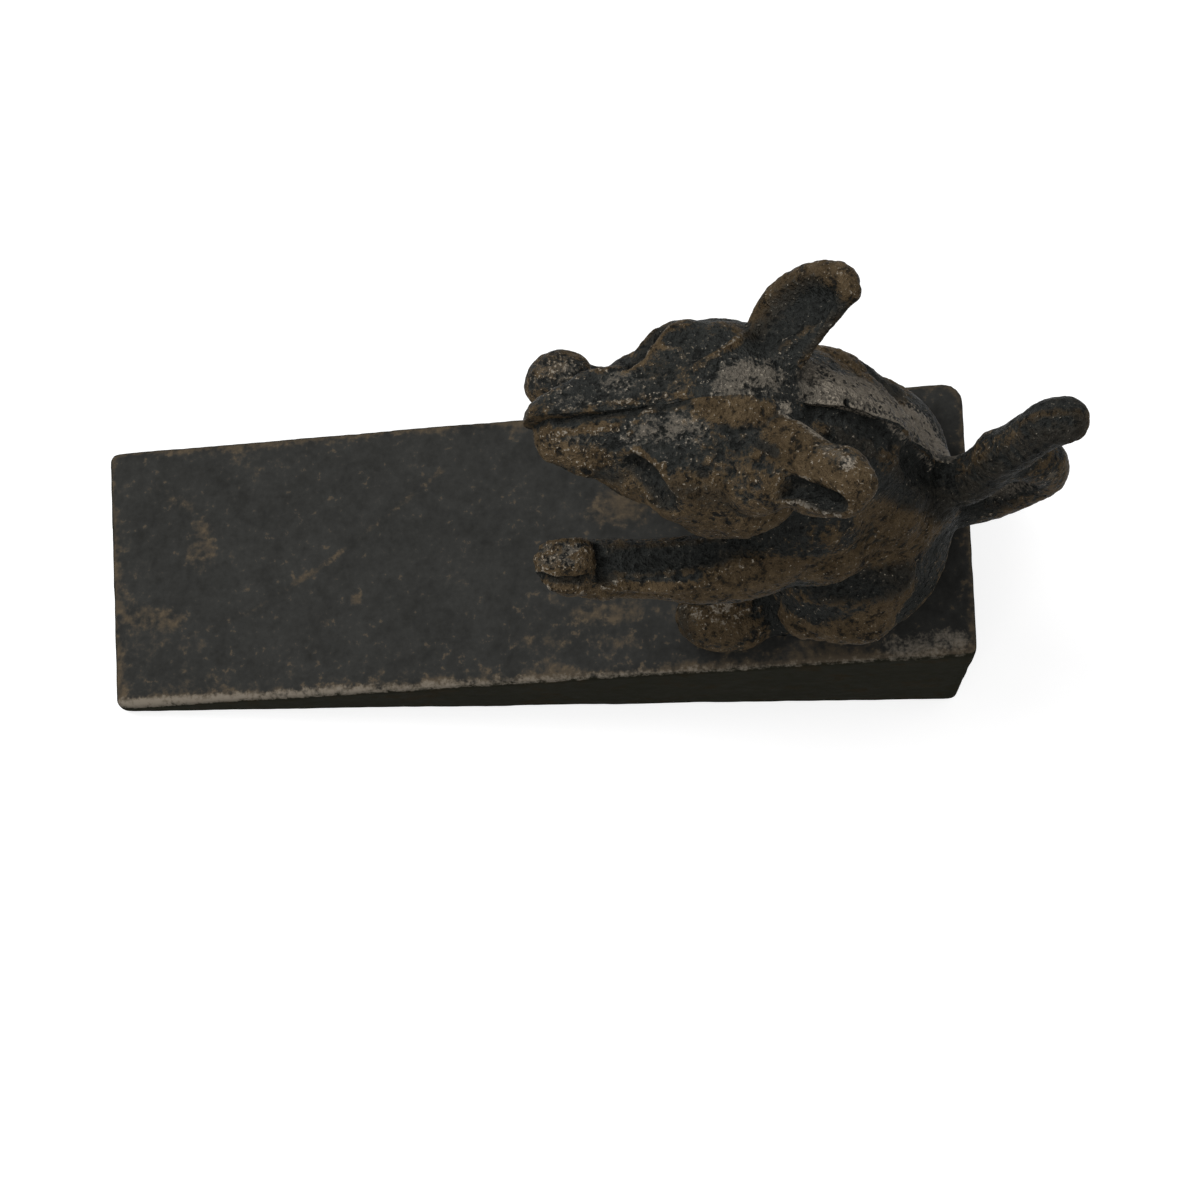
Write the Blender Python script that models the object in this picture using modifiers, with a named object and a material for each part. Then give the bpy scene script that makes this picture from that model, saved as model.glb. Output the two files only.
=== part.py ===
"""Cast-iron wedge paperweight with a standing mouse, as an assembly.

A hollow cast wedge carries a small mouse that is cast as a left and a right
half.  The halves meet in the middle plane and are clamped together by one
cross screw.  Two screws rise from the hollow of the wedge into the feet.

Units are metres, +Z is up.  The origin is the middle of the underside, +X
points to the thick end and the mouse faces -X.  Its left side is -Y.
"""
import math

import bmesh
import bpy
from mathutils import Matrix, Vector

# ---------------------------------------------------------------- wedge
BASE_LENGTH = 0.1507          # along X, at the underside
BASE_WIDTH = 0.0474           # along Y
THICK_HEIGHT = 0.0380         # top plane above the underside, over the thick end's foot
THIN_HEIGHT = 0.0040          # the same over the thin end's foot
END_DRAFT = 0.0024            # how far the thick end leans in at its top
THIN_SKEW = 0.0014            # how far each corner of the thin end is off square
THICK_CORNER_RIGHT = 0.0036   # plan radii of the two thick corners
THICK_CORNER_LEFT = 0.0012
THIN_CORNER = 0.0015          # plan radius of the two thin corners
EDGE_ROUND = 0.0008           # rounding of the top edges
CORNER_SEGMENTS = 5
EDGE_SEGMENTS = 2

SIDE_WALL = 0.0050            # iron left at the sides and the thick end
ROOF_WALL = 0.0055            # iron left under the sloping top, measured upright
RIB_THICKNESS = 0.0060        # cross rib in the middle of the underside
BAY_MIN_HEIGHT = 0.0030       # the thin bay stops where it would get lower

# ---------------------------------------------------------------- fastenings
SEAT_GAP = 0.0003             # clearance between pieces that touch
SCREW_SHANK = 0.0050          # diameter of all three screws
SCREW_HEAD = 0.0088           # head diameter
SCREW_HEAD_HEIGHT = 0.0032
SLOT_WIDTH = 0.0012
SLOT_DEPTH = 0.0015
SCREW_SIDES = 20

BASE_SCREW_LENGTH = 0.0230    # under the head
BASE_SCREW_X = 0.0010         # from the standing point
BASE_SCREW_Y = 0.0110         # to each side of the middle plane
BOSS_DIAMETER = 0.0120        # pad under the roof that each head bears on
BOSS_DROP = 0.0020            # how far the pad hangs below the roof beside it

CROSS_SCREW_LENGTH = 0.0200   # under the head
CROSS_SCREW_X = 0.0030        # from the standing point
CROSS_SCREW_Z = 0.0285        # above the standing point
CROSS_HEAD_SEAT = 0.0103      # seat of the head from the middle plane
BORE_TIP = 0.0006             # space past a screw's end

# ---------------------------------------------------------------- mouse
STAND_SETBACK = 0.0262        # standing point, measured in from the thick end
SEAM_GAP = 0.0003             # between the two halves
VOXEL = 0.0010                # grid that the body forms are blended on
BLEND_PASSES = 4
FACE_RATIO = 0.135            # share of the blended faces that is kept

# Body forms of one side: centre and half sizes, from the standing point.
# Those with y = 0 lie in the middle plane, the others are on both sides.
BALLS = {
    "skull": ((-0.0200, 0.0, 0.0546), (0.0145, 0.0165, 0.0143)),
    "brow": ((-0.0262, 0.0072, 0.0582), (0.0070, 0.0080, 0.0070)),
    "muzzle": ((-0.0300, 0.0, 0.0550), (0.0110, 0.0118, 0.0098)),
    "neck": ((-0.0085, 0.0, 0.0520), (0.0112, 0.0108, 0.0125)),
    "chest": ((-0.0040, 0.0, 0.0450), (0.0135, 0.0128, 0.0150)),
    "belly": ((0.0000, 0.0, 0.0340), (0.0152, 0.0145, 0.0160)),
    "rump": ((0.0045, 0.0, 0.0200), (0.0158, 0.0150, 0.0170)),
    "haunch": ((0.0030, 0.0086, 0.0150), (0.0146, 0.0126, 0.0160)),
    "knee": ((-0.0050, 0.0145, 0.0070), (0.0062, 0.0068, 0.0090)),
    "toes": ((-0.0170, 0.0155, 0.0005), (0.0085, 0.0060, 0.0052)),
    "sole": ((-0.0060, 0.0150, -0.0005), (0.0110, 0.0058, 0.0050)),
    "heel": ((0.0070, 0.0160, 0.0030), (0.0065, 0.0055, 0.0050)),
    "paw": ((-0.0440, 0.0146, 0.0345), (0.0056, 0.0046, 0.0056)),
}
# Limbs of one side and of the middle plane: points along the bone with radii.
LIMBS = {
    "snout": (((-0.0280, 0.0, 0.0560), 0.0098), ((-0.0390, 0.0, 0.0562), 0.0068),
              ((-0.0455, 0.0, 0.0572), 0.0040)),
    "arm": (((-0.0055, 0.0092, 0.0430), 0.0074), ((-0.0160, 0.0145, 0.0330), 0.0060),
            ((-0.0300, 0.0150, 0.0300), 0.0046), ((-0.0410, 0.0146, 0.0305), 0.0042)),
    "tail": (((0.0120, 0.0, 0.0170), 0.0062), ((0.0215, 0.0, 0.0175), 0.0048),
             ((0.0285, 0.0, 0.0235), 0.0041), ((0.0312, 0.0, 0.0315), 0.0038),
             ((0.0274, 0.0, 0.0385), 0.0037), ((0.0214, 0.0, 0.0415), 0.0040),
             ((0.0219, 0.0, 0.0466), 0.0039), ((0.0244, 0.0, 0.0522), 0.0037),
             ((0.0274, 0.0, 0.0556), 0.0036), ((0.0301, 0.0, 0.0558), 0.0034)),
}
LIMB_SIDES = 16
LIMB_STEP = 0.0020            # rings along a limb lie about this far apart

EAR_ROOT = (-0.0155, 0.0082, 0.0635)     # from the standing point, right side
EAR_TIP = (-0.0030, 0.0165, 0.0758)
EAR_FACING = (-0.80, 0.00, 0.60)         # rough direction of its hollow side
EAR_HALF_WIDTH = 0.0067
EAR_HALF_THICKNESS = 0.0030
EAR_HOLLOW_DEPTH = 0.0020
EAR_RIM = 0.0016

IRON_COLOUR = (0.030, 0.026, 0.024, 1.0)
BASE_COLOUR = (0.024, 0.018, 0.015, 1.0)
STEEL_COLOUR = (0.16, 0.15, 0.14, 1.0)
FAR = 0.3                     # size of the blocks that cut away one side


def clear_scene():
    """Empty the scene without reloading Blender's settings."""
    for obj in list(bpy.data.objects):
        bpy.data.objects.remove(obj, do_unlink=True)


def new_collection(name):
    collection = bpy.data.collections.new(name)
    bpy.context.scene.collection.children.link(collection)
    return collection


def make_material(name, colour, roughness, metallic):
    material = bpy.data.materials.new(name)
    material.use_nodes = True
    shader = material.node_tree.nodes["Principled BSDF"]
    shader.inputs["Base Color"].default_value = colour
    shader.inputs["Roughness"].default_value = roughness
    shader.inputs["Metallic"].default_value = metallic
    material.diffuse_color = colour
    return material


def object_from_bmesh(name, shape, collection, material=None):
    """Put a finished bmesh into a new object in a collection."""
    bmesh.ops.recalc_face_normals(shape, faces=shape.faces)
    mesh = bpy.data.meshes.new(name)
    shape.to_mesh(mesh)
    shape.free()
    obj = bpy.data.objects.new(name, mesh)
    collection.objects.link(obj)
    if material:
        mesh.materials.append(material)
    return obj


def hide_cutter(obj):
    obj.hide_render = True
    obj.display_type = "WIRE"
    return obj


def add_boolean(obj, tool, operation):
    modifier = obj.modifiers.new(tool.name, "BOOLEAN")
    modifier.object = tool
    modifier.operation = operation
    modifier.solver = "EXACT"


def evaluated_mesh(obj, name):
    """Return obj's mesh with its modifiers, in world space."""
    depsgraph = bpy.context.evaluated_depsgraph_get()
    mesh = bpy.data.meshes.new_from_object(obj.evaluated_get(depsgraph), depsgraph=depsgraph)
    mesh.name = name
    mesh.transform(obj.matrix_world)
    return mesh


# ---------------------------------------------------------------- places
def top_height(x):
    """Height of the wedge's sloping top at x."""
    share = (x + BASE_LENGTH / 2) / BASE_LENGTH
    return THIN_HEIGHT + (THICK_HEIGHT - THIN_HEIGHT) * share


def standing_point():
    x = BASE_LENGTH / 2 - STAND_SETBACK
    return Vector((x, 0.0, top_height(x)))


def boss_bottom():
    """Height of the flat that the base screws' heads bear on."""
    low_side = standing_point().x + BASE_SCREW_X - BOSS_DIAMETER / 2
    return top_height(low_side) - ROOF_WALL - BOSS_DROP


# ---------------------------------------------------------------- wedge
def wedge_block(x_low, x_high, half_width, bottom, top_low, top_high):
    """A block whose top slopes from top_low at x_low to top_high at x_high."""
    shape = bmesh.new()
    bmesh.ops.create_cube(shape, size=1.0)
    for vert in shape.verts:
        at_high = vert.co.x > 0
        top = top_high if at_high else top_low
        vert.co = Vector((x_high if at_high else x_low,
                          math.copysign(half_width, vert.co.y),
                          top if vert.co.z > 0 else bottom))
    return shape


def upright_edge(shape, x_sign, y_sign):
    """The corner edge at one end and one side of the block."""
    def in_corner(vert):
        return vert.co.x * x_sign > BASE_LENGTH / 4 and vert.co.y * y_sign > BASE_WIDTH / 4

    for edge in shape.edges:
        low, high = sorted(vert.co.z for vert in edge.verts)
        if all(in_corner(vert) for vert in edge.verts) and low == 0 and high >= THIN_HEIGHT / 2:
            return [edge]


def bevel(shape, edges, radius, segments):
    bmesh.ops.bevel(shape, geom=edges, offset=radius, offset_type="OFFSET",
                    segments=segments, profile=0.5, affect="EDGES", clamp_overlap=True)


def make_base(collection, cutters, material):
    """The hollow wedge: outer block, two bays, screw pads and bores."""
    half = BASE_LENGTH / 2
    shape = wedge_block(-half, half, BASE_WIDTH / 2, 0.0, THIN_HEIGHT, THICK_HEIGHT)
    for vert in shape.verts:
        if vert.co.x > 0 and vert.co.z > THIN_HEIGHT:
            vert.co.x -= END_DRAFT
        elif vert.co.x < 0:
            vert.co.x -= math.copysign(THIN_SKEW, vert.co.y)
        if vert.co.z > 0:
            vert.co.z = top_height(vert.co.x)
    corners = ((1, 1, THICK_CORNER_RIGHT), (1, -1, THICK_CORNER_LEFT),
               (-1, 1, THIN_CORNER), (-1, -1, THIN_CORNER))
    for x_sign, y_sign, radius in corners:
        bevel(shape, upright_edge(shape, x_sign, y_sign), radius, CORNER_SEGMENTS)
    rim = [edge for edge in shape.edges
           if len(edge.link_faces) == 2
           and sum(face.normal.z > 0.7 for face in edge.link_faces) == 1]
    bevel(shape, rim, EDGE_ROUND, EDGE_SEGMENTS)
    base = object_from_bmesh("base_wedge", shape, collection, material)

    inside = BASE_WIDTH / 2 - SIDE_WALL
    slope = (THICK_HEIGHT - THIN_HEIGHT) / BASE_LENGTH
    thin_stop = (BAY_MIN_HEIGHT + ROOF_WALL - THIN_HEIGHT) / slope - half
    bays = (("bay_thick", RIB_THICKNESS / 2, half - END_DRAFT - SIDE_WALL),
            ("bay_thin", thin_stop, -RIB_THICKNESS / 2))
    for name, low, high in bays:
        below = -EDGE_ROUND
        bay = wedge_block(low, high, inside, below, top_height(low) - ROOF_WALL,
                          top_height(high) - ROOF_WALL)
        add_boolean(base, hide_cutter(object_from_bmesh(name, bay, cutters)), "DIFFERENCE")

    stand = standing_point()
    for side, sign in (("left", -1), ("right", 1)):
        place = Vector((stand.x + BASE_SCREW_X, sign * BASE_SCREW_Y, 0.0))
        pad_top = top_height(place.x) - ROOF_WALL / 2
        pad = round_bar("pad_" + side, BOSS_DIAMETER / 2, boss_bottom(), pad_top, place, cutters)
        add_boolean(base, pad, "UNION")
        bore_top = top_height(place.x) + BOSS_DIAMETER
        bore = round_bar("base_bore_" + side, SCREW_SHANK / 2 + SEAT_GAP,
                         boss_bottom() - BOSS_DROP, bore_top, place, cutters)
        add_boolean(base, bore, "DIFFERENCE")
    return base


def round_bar(name, radius, low, high, place, cutters):
    """An upright cylinder from low to high, standing over place, as a cutter."""
    shape = bmesh.new()
    bmesh.ops.create_cone(shape, cap_ends=True, segments=SCREW_SIDES, radius1=radius,
                          radius2=radius, depth=high - low)
    bmesh.ops.translate(shape, vec=(place.x, place.y, (low + high) / 2), verts=shape.verts)
    return hide_cutter(object_from_bmesh(name, shape, cutters))


# ---------------------------------------------------------------- screws
def make_screw(name, length, collection, cutters, material):
    """A slotted screw: head's underside at z = 0, shank up, slot below."""
    shape = bmesh.new()
    bmesh.ops.create_cone(shape, cap_ends=True, segments=SCREW_SIDES,
                          radius1=SCREW_HEAD / 2 - EDGE_ROUND, radius2=SCREW_HEAD / 2,
                          depth=SCREW_HEAD_HEIGHT,
                          matrix=Matrix.Translation((0, 0, -SCREW_HEAD_HEIGHT / 2)))
    screw = object_from_bmesh(name, shape, collection, material)

    shank = bmesh.new()
    foot = -SCREW_HEAD_HEIGHT / 2
    bmesh.ops.create_cone(shank, cap_ends=True, segments=SCREW_SIDES, radius1=SCREW_SHANK / 2,
                          radius2=SCREW_SHANK / 2, depth=length - foot,
                          matrix=Matrix.Translation((0, 0, (length + foot) / 2)))
    shank_tool = hide_cutter(object_from_bmesh(name + "_shank", shank, cutters))
    add_boolean(screw, shank_tool, "UNION")

    slot = bmesh.new()
    bmesh.ops.create_cube(slot, size=1.0)
    bmesh.ops.scale(slot, vec=(SCREW_HEAD * 1.5, SLOT_WIDTH, SLOT_DEPTH * 2), verts=slot.verts)
    bmesh.ops.translate(slot, vec=(0, 0, -SCREW_HEAD_HEIGHT), verts=slot.verts)
    slot_tool = hide_cutter(object_from_bmesh(name + "_slot", slot, cutters))
    add_boolean(screw, slot_tool, "DIFFERENCE")
    return screw, (shank_tool, slot_tool)


def place_screw(screw, tools, matrix):
    for obj in (screw,) + tools:
        obj.matrix_world = matrix


# ---------------------------------------------------------------- mouse forms
def add_ball(shape, centre, sizes):
    matrix = Matrix.Translation(centre) @ Matrix.Diagonal(Vector(sizes).to_4d())
    bmesh.ops.create_uvsphere(shape, u_segments=28, v_segments=18, radius=1.0, matrix=matrix)


def add_form(shape, name):
    """Add one ball of BALLS, on both sides unless it is in the middle."""
    (x, y, z), sizes = BALLS[name]
    for side in ((1,) if y == 0 else (1, -1)):
        add_ball(shape, standing_point() + Vector((x, side * y, z)), sizes)


def smooth_path(points):
    """Points and radii along a smooth curve through a limb's own points."""
    path = []
    for index in range(len(points) - 1):
        (b, rb), (c, rc) = points[index], points[index + 1]
        a = points[max(index - 1, 0)][0]
        d = points[min(index + 2, len(points) - 1)][0]
        a, b, c, d = (Vector(p) for p in (a, b, c, d))
        steps = max(2, round((c - b).length / LIMB_STEP))
        for step in range(steps):
            t = step / steps
            spot = 0.5 * ((2 * b) + (c - a) * t + (2 * a - 5 * b + 4 * c - d) * t ** 2
                          + (3 * b - a - 3 * c + d) * t ** 3)
            path.append((spot, rb + (rc - rb) * t))
    path.append((Vector(points[-1][0]), points[-1][1]))
    return path


def limb_mesh(name, side, cutters):
    """A limb as a bevelled curve, made a mesh, with a ball at each end."""
    path = smooth_path(LIMBS[name])
    curve = bpy.data.curves.new(name, "CURVE")
    curve.dimensions = "3D"
    curve.bevel_depth = 1.0
    curve.bevel_resolution = LIMB_SIDES // 4 - 2
    curve.use_fill_caps = True
    spline = curve.splines.new("POLY")
    spline.points.add(len(path) - 1)
    places = []
    for point, (spot, radius) in zip(spline.points, path):
        place = standing_point() + Vector((spot.x, side * spot.y, spot.z))
        point.co = place.to_4d()
        point.radius = radius
        places.append(place)
    limb = bpy.data.objects.new(name, curve)
    cutters.objects.link(limb)
    mesh = evaluated_mesh(limb, name)
    bpy.data.objects.remove(limb, do_unlink=True)
    bpy.data.curves.remove(curve)
    return mesh, ((places[0], path[0][1]), (places[-1], path[-1][1]))


def add_limb(shape, name, cutters):
    middle = all(point[0][1] == 0 for point in LIMBS[name])
    for side in ((1,) if middle else (1, -1)):
        mesh, ends = limb_mesh(name, side, cutters)
        shape.from_mesh(mesh)
        bpy.data.meshes.remove(mesh)
        bmesh.ops.remove_doubles(shape, verts=shape.verts, dist=1e-6)
        for place, radius in ends:
            add_ball(shape, place, (radius, radius, radius))


def ear_frame(side):
    """Matrix whose X runs up the ear, Y across it, Z out of its hollow."""
    root = standing_point() + Vector((EAR_ROOT[0], side * EAR_ROOT[1], EAR_ROOT[2]))
    tip = standing_point() + Vector((EAR_TIP[0], side * EAR_TIP[1], EAR_TIP[2]))
    along = (tip - root).normalized()
    facing = Vector((EAR_FACING[0], side * EAR_FACING[1], EAR_FACING[2]))
    out = (facing - along * facing.dot(along)).normalized()
    across = out.cross(along)
    axes = Matrix((along, across, out)).transposed().to_4x4()
    return Matrix.Translation((root + tip) / 2) @ axes, (tip - root).length / 2


def ear_ball(side, grow, lift):
    """One ellipsoid of an ear, inset by grow and lifted out of the face."""
    frame, half_length = ear_frame(side)
    sizes = Vector((half_length - grow, EAR_HALF_WIDTH - grow, EAR_HALF_THICKNESS))
    shape = bmesh.new()
    matrix = frame @ Matrix.Translation((0, 0, lift)) @ Matrix.Diagonal(sizes.to_4d())
    bmesh.ops.create_uvsphere(shape, u_segments=24, v_segments=14, radius=1.0, matrix=matrix)
    return shape


def blended_mouse(cutters):
    """All forms of the body joined on a grid and smoothed into one skin."""
    shape = bmesh.new()
    for name in BALLS:
        add_form(shape, name)
    for name in LIMBS:
        add_limb(shape, name, cutters)
    for side in (1, -1):
        ear = ear_ball(side, 0.0, 0.0)
        mesh = bpy.data.meshes.new("ear")
        ear.to_mesh(mesh)
        ear.free()
        shape.from_mesh(mesh)
        bpy.data.meshes.remove(mesh)
    body = hide_cutter(object_from_bmesh("mouse_skin", shape, cutters))
    remesh = body.modifiers.new("blend", "REMESH")
    remesh.mode = "VOXEL"
    remesh.voxel_size = VOXEL
    smooth = body.modifiers.new("soften", "SMOOTH")
    smooth.factor = 0.5
    smooth.iterations = BLEND_PASSES
    decimate = body.modifiers.new("thin_out", "DECIMATE")
    decimate.ratio = FACE_RATIO
    decimate.use_collapse_triangulate = True
    mesh = evaluated_mesh(body, "mouse_skin")
    bpy.data.objects.remove(body, do_unlink=True)
    return mesh


def side_block(cutters):
    """Everything to the left of the right half's mating face."""
    shape = bmesh.new()
    bmesh.ops.create_cube(shape, size=FAR)
    bmesh.ops.translate(shape, vec=(0, SEAM_GAP / 2 - FAR / 2, 0), verts=shape.verts)
    return hide_cutter(object_from_bmesh("left_of_seam", shape, cutters))


def floor_block(cutters):
    """Everything below the soles: the wedge's top plane, raised by the gap."""
    shape = bmesh.new()
    bmesh.ops.create_cube(shape, size=FAR)
    angle = math.atan2(THICK_HEIGHT - THIN_HEIGHT, BASE_LENGTH)
    turn = Matrix.Rotation(-angle, 4, "Y")
    lower = Matrix.Translation((0, 0, SEAT_GAP - FAR / 2))
    stand = Matrix.Translation(standing_point())
    bmesh.ops.transform(shape, matrix=stand @ turn @ lower, verts=shape.verts)
    return hide_cutter(object_from_bmesh("below_soles", shape, cutters))


def sole_bore(side, sign, cutters):
    """Blind bore for a base screw, from the sole up."""
    stand = standing_point()
    place = Vector((stand.x + BASE_SCREW_X, sign * BASE_SCREW_Y, 0.0))
    tip = boss_bottom() - SEAT_GAP + BASE_SCREW_LENGTH + BORE_TIP
    return round_bar("sole_bore_" + side, SCREW_SHANK / 2 + SEAT_GAP,
                     stand.z - BOSS_DIAMETER, tip, place, cutters)


def cross_bar(name, radius, y_low, y_high, cutters):
    """A cylinder along Y on the cross screw's axis, as a cutter."""
    stand = standing_point()
    centre = Vector((stand.x + CROSS_SCREW_X, (y_low + y_high) / 2, stand.z + CROSS_SCREW_Z))
    shape = bmesh.new()
    turn = Matrix.Rotation(math.radians(90), 4, "X")
    bmesh.ops.create_cone(shape, cap_ends=True, segments=SCREW_SIDES, radius1=radius,
                          radius2=radius, depth=y_high - y_low,
                          matrix=Matrix.Translation(centre) @ turn)
    return hide_cutter(object_from_bmesh(name, shape, cutters))


def mirrored(mesh, name):
    """A copy of a mesh reflected in the middle plane."""
    shape = bmesh.new()
    shape.from_mesh(mesh)
    bmesh.ops.scale(shape, vec=(1, -1, 1), verts=shape.verts)
    bmesh.ops.reverse_faces(shape, faces=shape.faces)
    copy = bpy.data.meshes.new(name)
    shape.to_mesh(copy)
    shape.free()
    return copy


def make_halves(collection, cutters, material):
    """The right half is cut from the skin, the left half is its mirror image."""
    skin = bpy.data.objects.new("mouse_right_half", blended_mouse(cutters))
    cutters.objects.link(skin)
    add_boolean(skin, side_block(cutters), "DIFFERENCE")
    add_boolean(skin, floor_block(cutters), "DIFFERENCE")
    hollow = hide_cutter(object_from_bmesh("ear_hollow", ear_ball(
        1, EAR_RIM, EAR_HALF_THICKNESS * 2 - EAR_HOLLOW_DEPTH), cutters))
    add_boolean(skin, hollow, "DIFFERENCE")
    half_mesh = evaluated_mesh(skin, "mouse_half")
    bpy.data.objects.remove(skin, do_unlink=True)

    halves = {}
    for side, sign in (("right", 1), ("left", -1)):
        name = "mouse_" + side + "_half"
        mesh = half_mesh if sign > 0 else mirrored(half_mesh, name)
        mesh.materials.clear()
        mesh.materials.append(material)
        half = bpy.data.objects.new(name, mesh)
        collection.objects.link(half)
        add_boolean(half, sole_bore(side, sign, cutters), "DIFFERENCE")
        halves[side] = half

    bore = SCREW_SHANK / 2 + SEAT_GAP
    well = SCREW_HEAD / 2 + SEAT_GAP
    seat = CROSS_HEAD_SEAT - SEAT_GAP
    blind_end = seat + SEAT_GAP - CROSS_SCREW_LENGTH - BORE_TIP
    through = cross_bar("cross_bore_right", bore, -SEAM_GAP, CROSS_HEAD_SEAT, cutters)
    pocket = cross_bar("cross_head_well", well, seat, BASE_WIDTH, cutters)
    blind = cross_bar("cross_bore_left", bore, blind_end, SEAM_GAP, cutters)
    add_boolean(halves["right"], through, "DIFFERENCE")
    add_boolean(halves["right"], pocket, "DIFFERENCE")
    add_boolean(halves["left"], blind, "DIFFERENCE")
    return halves


def main():
    clear_scene()
    parts = new_collection("mouse_paperweight")
    cutters = new_collection("cutters")
    iron = make_material("blackened_iron", IRON_COLOUR, 0.55, 0.35)
    base_iron = make_material("base_iron", BASE_COLOUR, 0.60, 0.30)
    steel = make_material("screw_steel", STEEL_COLOUR, 0.40, 0.90)

    make_base(parts, cutters, base_iron)
    make_halves(parts, cutters, iron)

    stand = standing_point()
    for side, sign in (("left", -1), ("right", 1)):
        screw, tools = make_screw("base_screw_" + side, BASE_SCREW_LENGTH, parts, cutters, steel)
        seat = (stand.x + BASE_SCREW_X, sign * BASE_SCREW_Y, boss_bottom() - SEAT_GAP)
        place_screw(screw, tools, Matrix.Translation(seat))
    screw, tools = make_screw("cross_screw", CROSS_SCREW_LENGTH, parts, cutters, steel)
    seat = (stand.x + CROSS_SCREW_X, CROSS_HEAD_SEAT, stand.z + CROSS_SCREW_Z)
    turn = Matrix.Rotation(math.radians(90), 4, "X")
    place_screw(screw, tools, Matrix.Translation(seat) @ turn)


main()
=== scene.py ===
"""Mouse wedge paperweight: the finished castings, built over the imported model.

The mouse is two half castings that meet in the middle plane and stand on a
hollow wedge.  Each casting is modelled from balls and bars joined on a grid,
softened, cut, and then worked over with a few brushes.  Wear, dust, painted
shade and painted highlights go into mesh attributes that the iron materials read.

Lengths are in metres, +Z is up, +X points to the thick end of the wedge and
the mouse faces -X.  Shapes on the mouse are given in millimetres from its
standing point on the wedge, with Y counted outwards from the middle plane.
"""

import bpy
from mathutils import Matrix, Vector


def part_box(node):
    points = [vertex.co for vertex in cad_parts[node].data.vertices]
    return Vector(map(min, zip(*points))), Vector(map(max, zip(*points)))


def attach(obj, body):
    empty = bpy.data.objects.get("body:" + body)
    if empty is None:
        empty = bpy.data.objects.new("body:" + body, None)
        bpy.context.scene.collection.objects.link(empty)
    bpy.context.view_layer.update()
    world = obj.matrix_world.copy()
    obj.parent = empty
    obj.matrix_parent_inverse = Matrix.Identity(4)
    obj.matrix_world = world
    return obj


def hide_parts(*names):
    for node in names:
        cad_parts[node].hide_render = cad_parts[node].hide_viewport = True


bl_info = {
    "name": "Mouse Wedge Paperweight",
    "version": (1, 0, 0),
    "blender": (4, 5, 0),
    "location": "View3D > Sidebar > Paperweight",
    "description": "Models a cast-iron wedge with a standing mouse and sets its stage",
    "category": "Object",
}

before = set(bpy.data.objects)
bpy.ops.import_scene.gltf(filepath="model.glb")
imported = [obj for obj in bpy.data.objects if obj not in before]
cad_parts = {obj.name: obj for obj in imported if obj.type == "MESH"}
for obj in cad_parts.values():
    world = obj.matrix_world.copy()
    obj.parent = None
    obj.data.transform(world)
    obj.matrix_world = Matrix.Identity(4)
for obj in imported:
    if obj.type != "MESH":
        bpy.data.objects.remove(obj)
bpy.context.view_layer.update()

import math

import bpy
import numpy as np
from bpy.props import FloatProperty, FloatVectorProperty, IntProperty, PointerProperty
from mathutils import Matrix, Vector, noise

MM = 0.001
SEAM_GAP = 0.00003            # between the two half castings, closed up by paint and rust
SOLE_GAP = 0.0003             # between the soles and the wedge
BORE_ROOM = 0.0003            # around and past a screw
BRUSH_REACH = 0.0006          # skin this much deeper than the nearest still guides a brush
WEAR_SPREAD = 1.25            # painted wear fades out this much past its radius
SCREW_BEHIND = 0.0010         # the base screws stand this far behind the standing point
SHANK_RADIUS = 0.0025 + BORE_ROOM      # of the bores that take the screws
HEAD_WELL = 0.0032            # depth of the well that takes the head of the cross screw
WELD = 1e-6                   # points closer than this are one point
SIDES = {"right": 1, "left": -1}      # which way each half casting lies from the seam

# ---------------------------------------------------------------- mouse forms
# Centre and half sizes.  Forms off the middle plane stand on both sides.
TORSO = (
    ((-19.6, 0.0, 54.6), (14.8, 15.8, 14.6)),      # skull
    ((-8.5, 0.0, 52.0), (11.2, 10.8, 12.5)),       # neck
    ((-5.4, 0.0, 45.0), (13.6, 13.2, 15.5)),       # chest
    ((-1.8, 0.0, 33.2), (15.2, 15.0, 17.0)),       # belly
    ((4.3, 0.0, 20.0), (16.2, 15.4, 17.6)),        # rump
    ((3.6, 8.6, 15.0), (15.2, 13.0, 16.4)),        # haunch
)
LIMB_ENDS = (
    ((-26.6, 7.8, 57.8), (6.4, 7.4, 7.2)),         # brow
    ((-21.0, 9.8, 54.0), (8.0, 6.8, 8.5)),         # cheek
    ((-30.0, 0.0, 55.0), (11.0, 11.8, 9.8)),       # muzzle
    ((-3.4, 13.8, 9.0), (6.6, 6.4, 8.0)),          # knee
    ((-17.0, 15.5, 0.5), (8.6, 6.1, 5.3)),         # toes
    ((-6.0, 13.6, -1.0), (11.0, 5.2, 4.8)),        # sole
    ((5.6, 15.4, 2.0), (6.6, 4.8, 4.6)),           # heel
    ((-43.6, 14.8, 34.5), (5.2, 4.5, 5.2)),        # paw
    ((-6.0, 11.8, 35.4), (9.8, 7.4, 7.6)),         # elbow
)
# Points along the bone and radii.
LIMBS = (
    (((-28, 0, 56), 9.8), ((-39, 0, 56.2), 7.0), ((-45.3, 0, 57.2), 4.3)),         # snout
    (((-5.5, 9.2, 43), 7.6), ((-16, 14.5, 33), 6.3), ((-30, 15, 30), 4.9),
     ((-41, 14.6, 30.8), 4.4)),                                                     # arm
    (((12, 0, 17), 6.4), ((21.5, 0, 17.5), 5.0), ((28.5, 0, 23.5), 4.3),
     ((31.4, 0, 31.4), 3.8), ((27.6, -0.3, 38.5), 3.9), ((22.2, -1.0, 41.7), 4.0),
     ((23.6, -1.3, 46.8), 3.8), ((25.8, -0.8, 52.2), 3.7), ((27.8, -0.2, 55.4), 3.8),
     ((29.8, 0, 55.7), 3.6)),                                                       # tail
    (((13, 0, 28), 5.0), ((18.2, -1.6, 32.0), 4.4), ((21.0, -1.4, 37), 4.0),
     ((22.2, -1.0, 41.7), 3.9)),                                                    # tail web
)
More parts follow.
